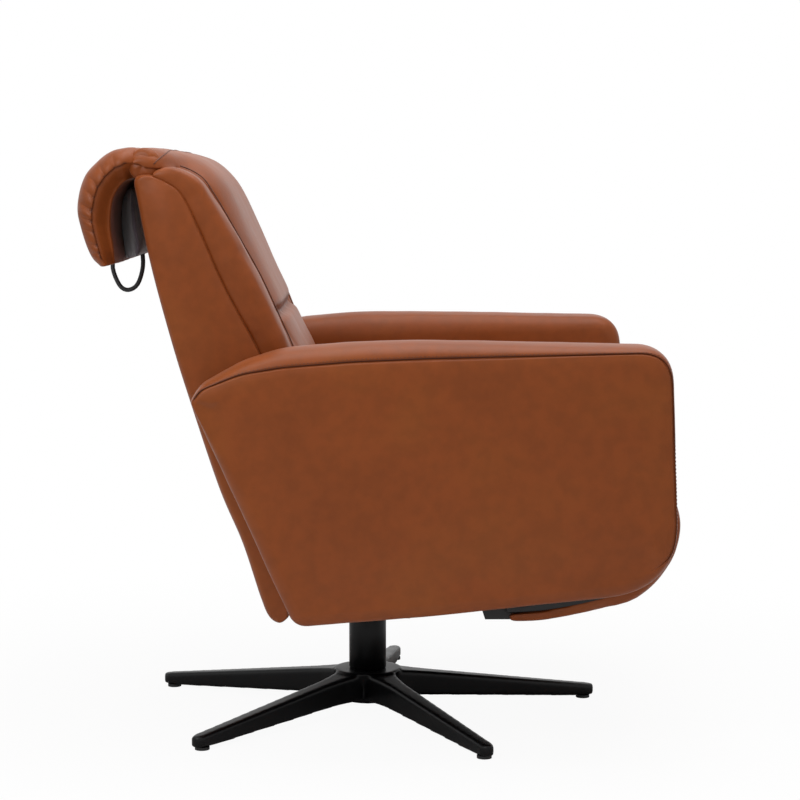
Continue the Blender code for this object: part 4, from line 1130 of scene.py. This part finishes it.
def build_headrest():
    outer = evenly(spline(HEADREST_OUTER, 10), HEADREST_STEPS)
    inner = evenly(spline(HEADREST_INNER, 10), HEADREST_STEPS)
    rings = []
    for i, (o, n) in enumerate(zip(outer, inner)):
        rings.append(headrest_ring(o, n, i / (HEADREST_STEPS - 1)))
    lip = (outer[-1] + inner[-1]) / 2 + (outer[-1] - outer[-2]).normalized() * HEADREST_LIP
    last = [at(lip.lerp(side_of(p), 0.6), p.y * 0.99) for p in rings[-1]]
    bm, _ = loft(rings + [last])
    pad = place("headrest_cover", bm, "leather", "headrest", ("headrest_pad",))
    ripple(pad.data, height=0.0014, size=0.05, seed=4)
    seams = []
    for _, side in SIDES:
        y = side * (HEADREST_HALF - HEADREST_SEAM_IN)
        seams.append([at((o + n) / 2, y) for o, n in zip(outer, inner)])
    # The headrest's seams are pressed in and get painted shade beside them
    crease(pad.data, seams, deep=0.0006, wide=0.0030)
    subdivide(pad, 1)
    build_roll()
    build_lining()
    for name, side in SIDES:
        build_gather(name, side)


def build_roll():
    """The round of leather over the hinge's shaft."""
    spots = [-BARREL_HALF, -BARREL_HALF + BARREL_END, 0.0, BARREL_HALF - BARREL_END, BARREL_HALF]
    bm, _ = loft([[at(p, y) for p in around(HEAD_PIVOT, BARREL_RADIUS, 48)] for y in spots])
    roll = place("headrest_roll", bm, "leather", "headrest")


def build_lining():
    """Felt block inside the fold, hollowed towards both ends so that the fold stays open there."""
    rest = evenly(spline(HEADREST_INNER[2:], 8), 40)
    face = evenly(spline(LINING_FACE, 8), 40)
    rings = []
    for y, full in LINING_FILL:
        rings.append((y, [f.lerp(r, full) for f, r in zip(face, rest)]))
    rings += [(-y, near) for y, near in reversed(rings[:-1])]
    bm, _ = loft([[at(p, y) for p in near + face[::-1]] for y, near in rings])
    mesh = stuff("headrest_lining_cover", bm, LINING_SKIN, LINING_SWELL)
    lining = place("headrest_lining_cover", mesh, "lining_cloth", "headrest", ("headrest_lining",), 1)


def build_gather(name, side):
    """The leather drawn together at one end of the hinge, in folds that run round it."""
    rings = []
    for reach, out in GATHER_PROFILE:
        ring = []
        for k, spot in enumerate(around(HEAD_PIVOT, BARREL_RADIUS * reach, 72)):
            angle = 2 * math.pi * k / 72
            wave = math.sin(5 * angle + 4 * (1 - reach) + 0.8 * math.sin(2 * angle))
            fold = GATHER_FOLD * wave * (1 - abs(2 * reach - 1))
            ring.append(at(spot, side * (BARREL_HALF - GATHER_IN + out + fold)))
        rings.append(ring)
    bm, _ = loft(rings)
    knot = place(f"headrest_gather_{name}", bm, "leather", "headrest", (), 1)


# Seat and footrest

def build_seat():
    rest = [Vector((SEAT_REAR, SEAT_LOW)), Vector((SEAT_FRONT - 0.024, SEAT_LOW)),
            Vector((SEAT_FRONT - 0.023, SEAT_LIP_LOW)), Vector((SEAT_FRONT - 0.010, SEAT_LIP_LOW))]
    face = spline(((SEAT_REAR, SEAT_LOW + 0.012), (SEAT_REAR + 0.006, SEAT_TOP - 0.012),
                   (SEAT_REAR + 0.03, SEAT_TOP), (0.05, SEAT_TOP + SEAT_CROWN), (0.20, SEAT_TOP + SEAT_CROWN),
                   (0.33, SEAT_TOP + 0.5 * SEAT_CROWN), (SEAT_FRONT - 0.022, SEAT_TOP - 0.008),
                   (SEAT_FRONT - 0.004, SEAT_TOP - 0.026), (SEAT_FRONT - 0.002, SEAT_LOW + 0.006)), 8)
    half = SEAT_HALF - SEAT_SIDE_IN
    bm, _ = loft(pad_rings(rest, face, -half, half, SEAT_TUCK, SEAT_EDGE, 8))

    def held(point):
        return point.z < SEAT_LOW + SEAT_HELD

    mesh = stuff("seat_cushion_cover", bm, SEAT_SKIN, SEAT_SWELL, held, relax=3)
    ripple(mesh, height=0.0022, size=0.075, seed=6)
    seat = place("seat_cushion_cover", mesh, "leather", "seat", ("seat_cushion",), 1)


def build_footrest():
    outer = spline(FOOTREST_OUTER, 8)
    inner = beside(outer, -FOOTREST_LEATHER)
    bm, _ = loft(pad_rings(inner, outer, -FOOTREST_HALF, FOOTREST_HALF, FOOTREST_TUCK, FOOTREST_EDGE, 8))
    mesh = stuff("footrest_cover", bm, FOOTREST_SKIN, FOOTREST_SWELL)
    ripple(mesh, height=0.0014, size=0.06, seed=9)
    pad = place("footrest_cover", mesh, "leather", "footrest", ("footrest_pad",), 1)
    # A black plastic sheet over the footrest's upper half: painted shade where the pad lies in the shade
    # under the arms and seat
    near = beside(outer, FOOTREST_SHADE_TRAY_IN - FOOTREST_LEATHER)
    far = beside(outer, -FOOTREST_THICK)
    half = FOOTREST_HALF - FOOTREST_SHADE_TRAY_IN
    bm, _ = loft(pad_rings(far, near, -half, half, FOOTREST_SHADE_TRAY_TUCK, FOOTREST_SHADE_TRAY_IN, 3))
    place("footrest_tray", bm, "black_plastic", "footrest")


# Base and the frame's own pieces

def build_base():
    """The star with a full hub, and its edges eased as on a casting."""
    middle = Vector(JOINTS["swivel"]["pos_m"][:2])
    bm = bmesh.new()
    bm.from_mesh(frame["nodes"]["base_star"].data)
    bmesh.ops.remove_doubles(bm, verts=bm.verts, dist=1e-6)
    low = min(v.co.z for v in bm.verts if (v.co.xy - middle).length < HUB_RADIUS)
    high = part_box("base_star")[1][2]
    hub = Matrix.Translation((*middle, (low + high) / 2))
    bmesh.ops.create_cone(bm, cap_ends=True, segments=72, radius1=HUB_FOOT, radius2=HUB_RADIUS,
                          depth=high - low, matrix=hub)
    mesh = taken(skinned("casting", bm, CASTING_SKIN, CASTING_EASE))
    place("base_star_casting", mesh, "black_coated_metal", "base", ("base_star",))


def build_column():
    """The column's tube, turned round where the frame's own tube has flats."""
    low, high = [Vector(corner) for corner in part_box("column_tube")]
    middle = (low + high) / 2
    radius = (high.x - low.x) / 2
    rings = []
    for share, z in ((SLEEVE_NARROW, low.z), (1.0, low.z + SLEEVE_BEVEL), (1.0, high.z - SLEEVE_BEVEL),
                     (SLEEVE_NARROW, high.z - SLEEVE_GAP)):
        rings.append([Vector((*p, z)) for p in around(middle.xy, share * radius, 96)])
    bm, _ = loft(rings)
    place("column_sleeve", bm, "black_coated_metal", "base", ("column_tube",))


def finish_frame():
    """Each frame piece that still shows takes the finish of its slot."""
    for row in frame["record"]["subparts"]:
        node = frame["nodes"][row["node"]]
        node.data.materials.clear()
        node.data.materials.append(LOOKS[row["material_slot"]])


# Stage

def studio_floor(settings):
    """Seamless pale floor: keeps the chair's soft shadow close by and runs out to white."""
    material, tree, shader, spot = blank("seamless_floor")
    distance = add(tree, "ShaderNodeVectorMath", [(spot, 0)], operation="LENGTH")
    far = add(tree, "ShaderNodeMapRange", [(distance, "Value")], interpolation_type="SMOOTHSTEP",
              From_Min=FLOOR_NEAR, From_Max=FLOOR_FAR)
    grain = add(tree, "ShaderNodeTexNoise", [(spot, "Vector")], Scale=1 / 0.4)
    tone = add(tree, "ShaderNodeValToRGB", [(grain, "Fac")], shades(settings.floor, 0.99, 1.0))
    wire(tree, shader, [(tone, "Base Color")], Roughness=0.9)
    white = add(tree, "ShaderNodeEmission", Strength=1.0)
    ray = add(tree, "ShaderNodeLightPath")
    pale = add(tree, "ShaderNodeMapRange", [(far, "Value")], To_Min=settings.floor_lift)
    seen = add(tree, "ShaderNodeMath", [(pale, 0), (ray.outputs["Is Camera Ray"], 1)], operation="MULTIPLY")
    mix = add(tree, "ShaderNodeMixShader", [(seen, "Fac"), (shader, 1), (white, 2)])
    wire(tree, next(n for n in tree.nodes if n.type == "OUTPUT_MATERIAL"), [(mix, "Surface")])
    return material


def build_floor(settings):
    bm = bmesh.new()
    bmesh.ops.create_grid(bm, x_segments=8, y_segments=8, size=settings.floor_size / 2)
    floor = linked("floor", meshed("floor", bm))
    floor.data.materials.append(studio_floor(settings))


def build_world(settings):
    """An even sky that looks white to the camera and in reflections."""
    world = bpy.data.worlds.new("studio")
    bpy.context.scene.world = world
    world.use_nodes = True
    tree = world.node_tree
    ray = add(tree, "ShaderNodeLightPath").outputs
    seen = add(tree, "ShaderNodeMath", [(ray["Is Camera Ray"], 0), (ray["Is Glossy Ray"], 1)],
               operation="MAXIMUM")
    shown = add(tree, "ShaderNodeMath", [(seen, 0), (ray["Is Transmission Ray"], 1)], operation="MAXIMUM")
    level = add(tree, "ShaderNodeMapRange", [(shown, "Value")], To_Min=settings.sky, To_Max=1.0)
    wire(tree, tree.nodes["Background"], [(level, "Strength")], Color=(1, 1, 1, 1))


def build_stage(settings):
    scene = bpy.context.scene
    scene.view_settings.view_transform = "Standard"
    build_floor(settings)
    build_world(settings)
    for name, setting, spot, target, size in LIGHTS:
        lamp = bpy.data.lights.new(name, "AREA")
        lamp.size = size
        lamp.energy = getattr(settings, setting)
        light = linked(name, lamp)
        light.location = spot
        light.rotation_euler = (Vector(target) - Vector(spot)).to_track_quat("-Z", "Y").to_euler()
    data = bpy.data.cameras.new("camera")
    data.lens = CAMERA_LENS
    data.sensor_width = CAMERA_SENSOR
    camera = linked("camera", data)
    camera.location = CAMERA_PLACE
    camera.rotation_euler = [math.radians(angle) for angle in CAMERA_TURN]
    scene.camera = camera


# Add-on

COLOUR = {"subtype": "COLOR", "min": 0, "max": 1}
SHARE = {"subtype": "FACTOR", "min": 0, "max": 1}


class ReclinerSettings(bpy.types.PropertyGroup):
    leather: FloatVectorProperty(
        name="Leather", description="Colour of the hide", default=linear("#874319"), **COLOUR)
    # Colour of the painted shade along seams and in creases; the thread's colour is drawn from it too
    seam: FloatVectorProperty(
        name="Seam", description="Colour in the seams", default=linear("#3a170b"), **COLOUR)
    lining: FloatVectorProperty(
        name="Lining", description="Colour of the headrest's lining", default=linear("#4a4148"), **COLOUR)
    black: FloatVectorProperty(
        name="Black coat", description="Colour of the coated metal", default=linear("#040405"), **COLOUR)
    floor: FloatVectorProperty(
        name="Floor", description="Colour of the floor", default=(0.92, 0.92, 0.92), **COLOUR)
    cloud_size: FloatProperty(
        name="Clouding", description="Size of the hide's colour clouds", unit="LENGTH", default=0.16)
    grain_size: FloatProperty(
        name="Grain", description="Size of the hide's pebble grain", unit="LENGTH", default=0.0022)
    roughness: FloatProperty(
        name="Leather roughness", description="Roughness of the hide", default=0.42, **SHARE)
    floor_size: FloatProperty(
        name="Floor size", description="Length of the floor's side", unit="LENGTH", default=24.0)
    floor_lift: FloatProperty(
        name="Floor lift", description="Share of plain white in the floor under the chair", default=0.94,
        **SHARE)
    sky: FloatProperty(
        name="Sky", description="Light from all round", min=0, default=0.24)
    overhead: FloatProperty(
        name="Overhead", description="Power of the softbox above", unit="POWER", default=46.0)
    fill: FloatProperty(
        name="Fill", description="Power of the light beside the camera", unit="POWER", default=3.0)
    key: FloatProperty(
        name="Key", description="Power of the light above the headrest", unit="POWER", default=10.0)
    rear: FloatProperty(
        name="Rear", description="Power of the light behind the back", unit="POWER", default=4.5)


class RECLINER_OT_looks(bpy.types.Operator):
    """Make the finishes and give them to the frame's own pieces"""
    bl_idname = "recliner.looks"
    bl_label = "Finishes"

    def execute(self, context):
        make_looks(context.scene.recliner)
        finish_frame()
        return {"FINISHED"}


class RECLINER_OT_base(bpy.types.Operator):
    """Ease the star base into a casting and round its column"""
    bl_idname = "recliner.base"
    bl_label = "Star base"

    def execute(self, context):
        build_base()
        build_column()
        return {"FINISHED"}


class RECLINER_OT_arms(bpy.types.Operator):
    """Upholster both arms"""
    bl_idname = "recliner.arms"
    bl_label = "Arms"

    def execute(self, context):
        build_arms()
        return {"FINISHED"}


class RECLINER_OT_back(bpy.types.Operator):
    """Upholster the back's shell, bolsters and cushions"""
    bl_idname = "recliner.back"
    bl_label = "Back"

    def execute(self, context):
        build_shell()
        build_bolsters()
        build_panel()
        return {"FINISHED"}


class RECLINER_OT_headrest(bpy.types.Operator):
    """Upholster the folded headrest"""
    bl_idname = "recliner.headrest"
    bl_label = "Headrest"

    def execute(self, context):
        build_headrest()
        return {"FINISHED"}


class RECLINER_OT_seat(bpy.types.Operator):
    """Upholster the seat cushion"""
    bl_idname = "recliner.seat"
    bl_label = "Seat"

    def execute(self, context):
        build_seat()
        return {"FINISHED"}


class RECLINER_OT_footrest(bpy.types.Operator):
    """Upholster the footrest"""
    bl_idname = "recliner.footrest"
    bl_label = "Footrest"

    def execute(self, context):
        build_footrest()
        return {"FINISHED"}


class RECLINER_OT_stage(bpy.types.Operator):
    """Set up the floor, lights and camera"""
    bl_idname = "recliner.stage"
    bl_label = "Stage"

    def execute(self, context):
        build_stage(context.scene.recliner)
        return {"FINISHED"}


OPERATORS = (
    RECLINER_OT_stage, RECLINER_OT_looks, RECLINER_OT_base, RECLINER_OT_arms, RECLINER_OT_back,
    RECLINER_OT_headrest, RECLINER_OT_seat, RECLINER_OT_footrest,
)


class RECLINER_PT_upholstery(bpy.types.Panel):
    bl_label = "Recliner"
    bl_space_type = "VIEW_3D"
    bl_region_type = "UI"
    bl_category = "Recliner"

    def draw(self, context):
        for name in ReclinerSettings.__annotations__:
            self.layout.prop(context.scene.recliner, name)
        for operator in OPERATORS:
            self.layout.operator(operator.bl_idname)


CLASSES = (ReclinerSettings, *OPERATORS, RECLINER_PT_upholstery)


def register():
    for item in CLASSES:
        bpy.utils.register_class(item)
    bpy.types.Scene.recliner = PointerProperty(type=ReclinerSettings)


def unregister():
    del bpy.types.Scene.recliner
    for item in reversed(CLASSES):
        bpy.utils.unregister_class(item)


def main():
    register()
    for operator in OPERATORS:
        getattr(bpy.ops.recliner, operator.bl_idname.split(".")[1])()


if __name__ == "__main__":
    main()
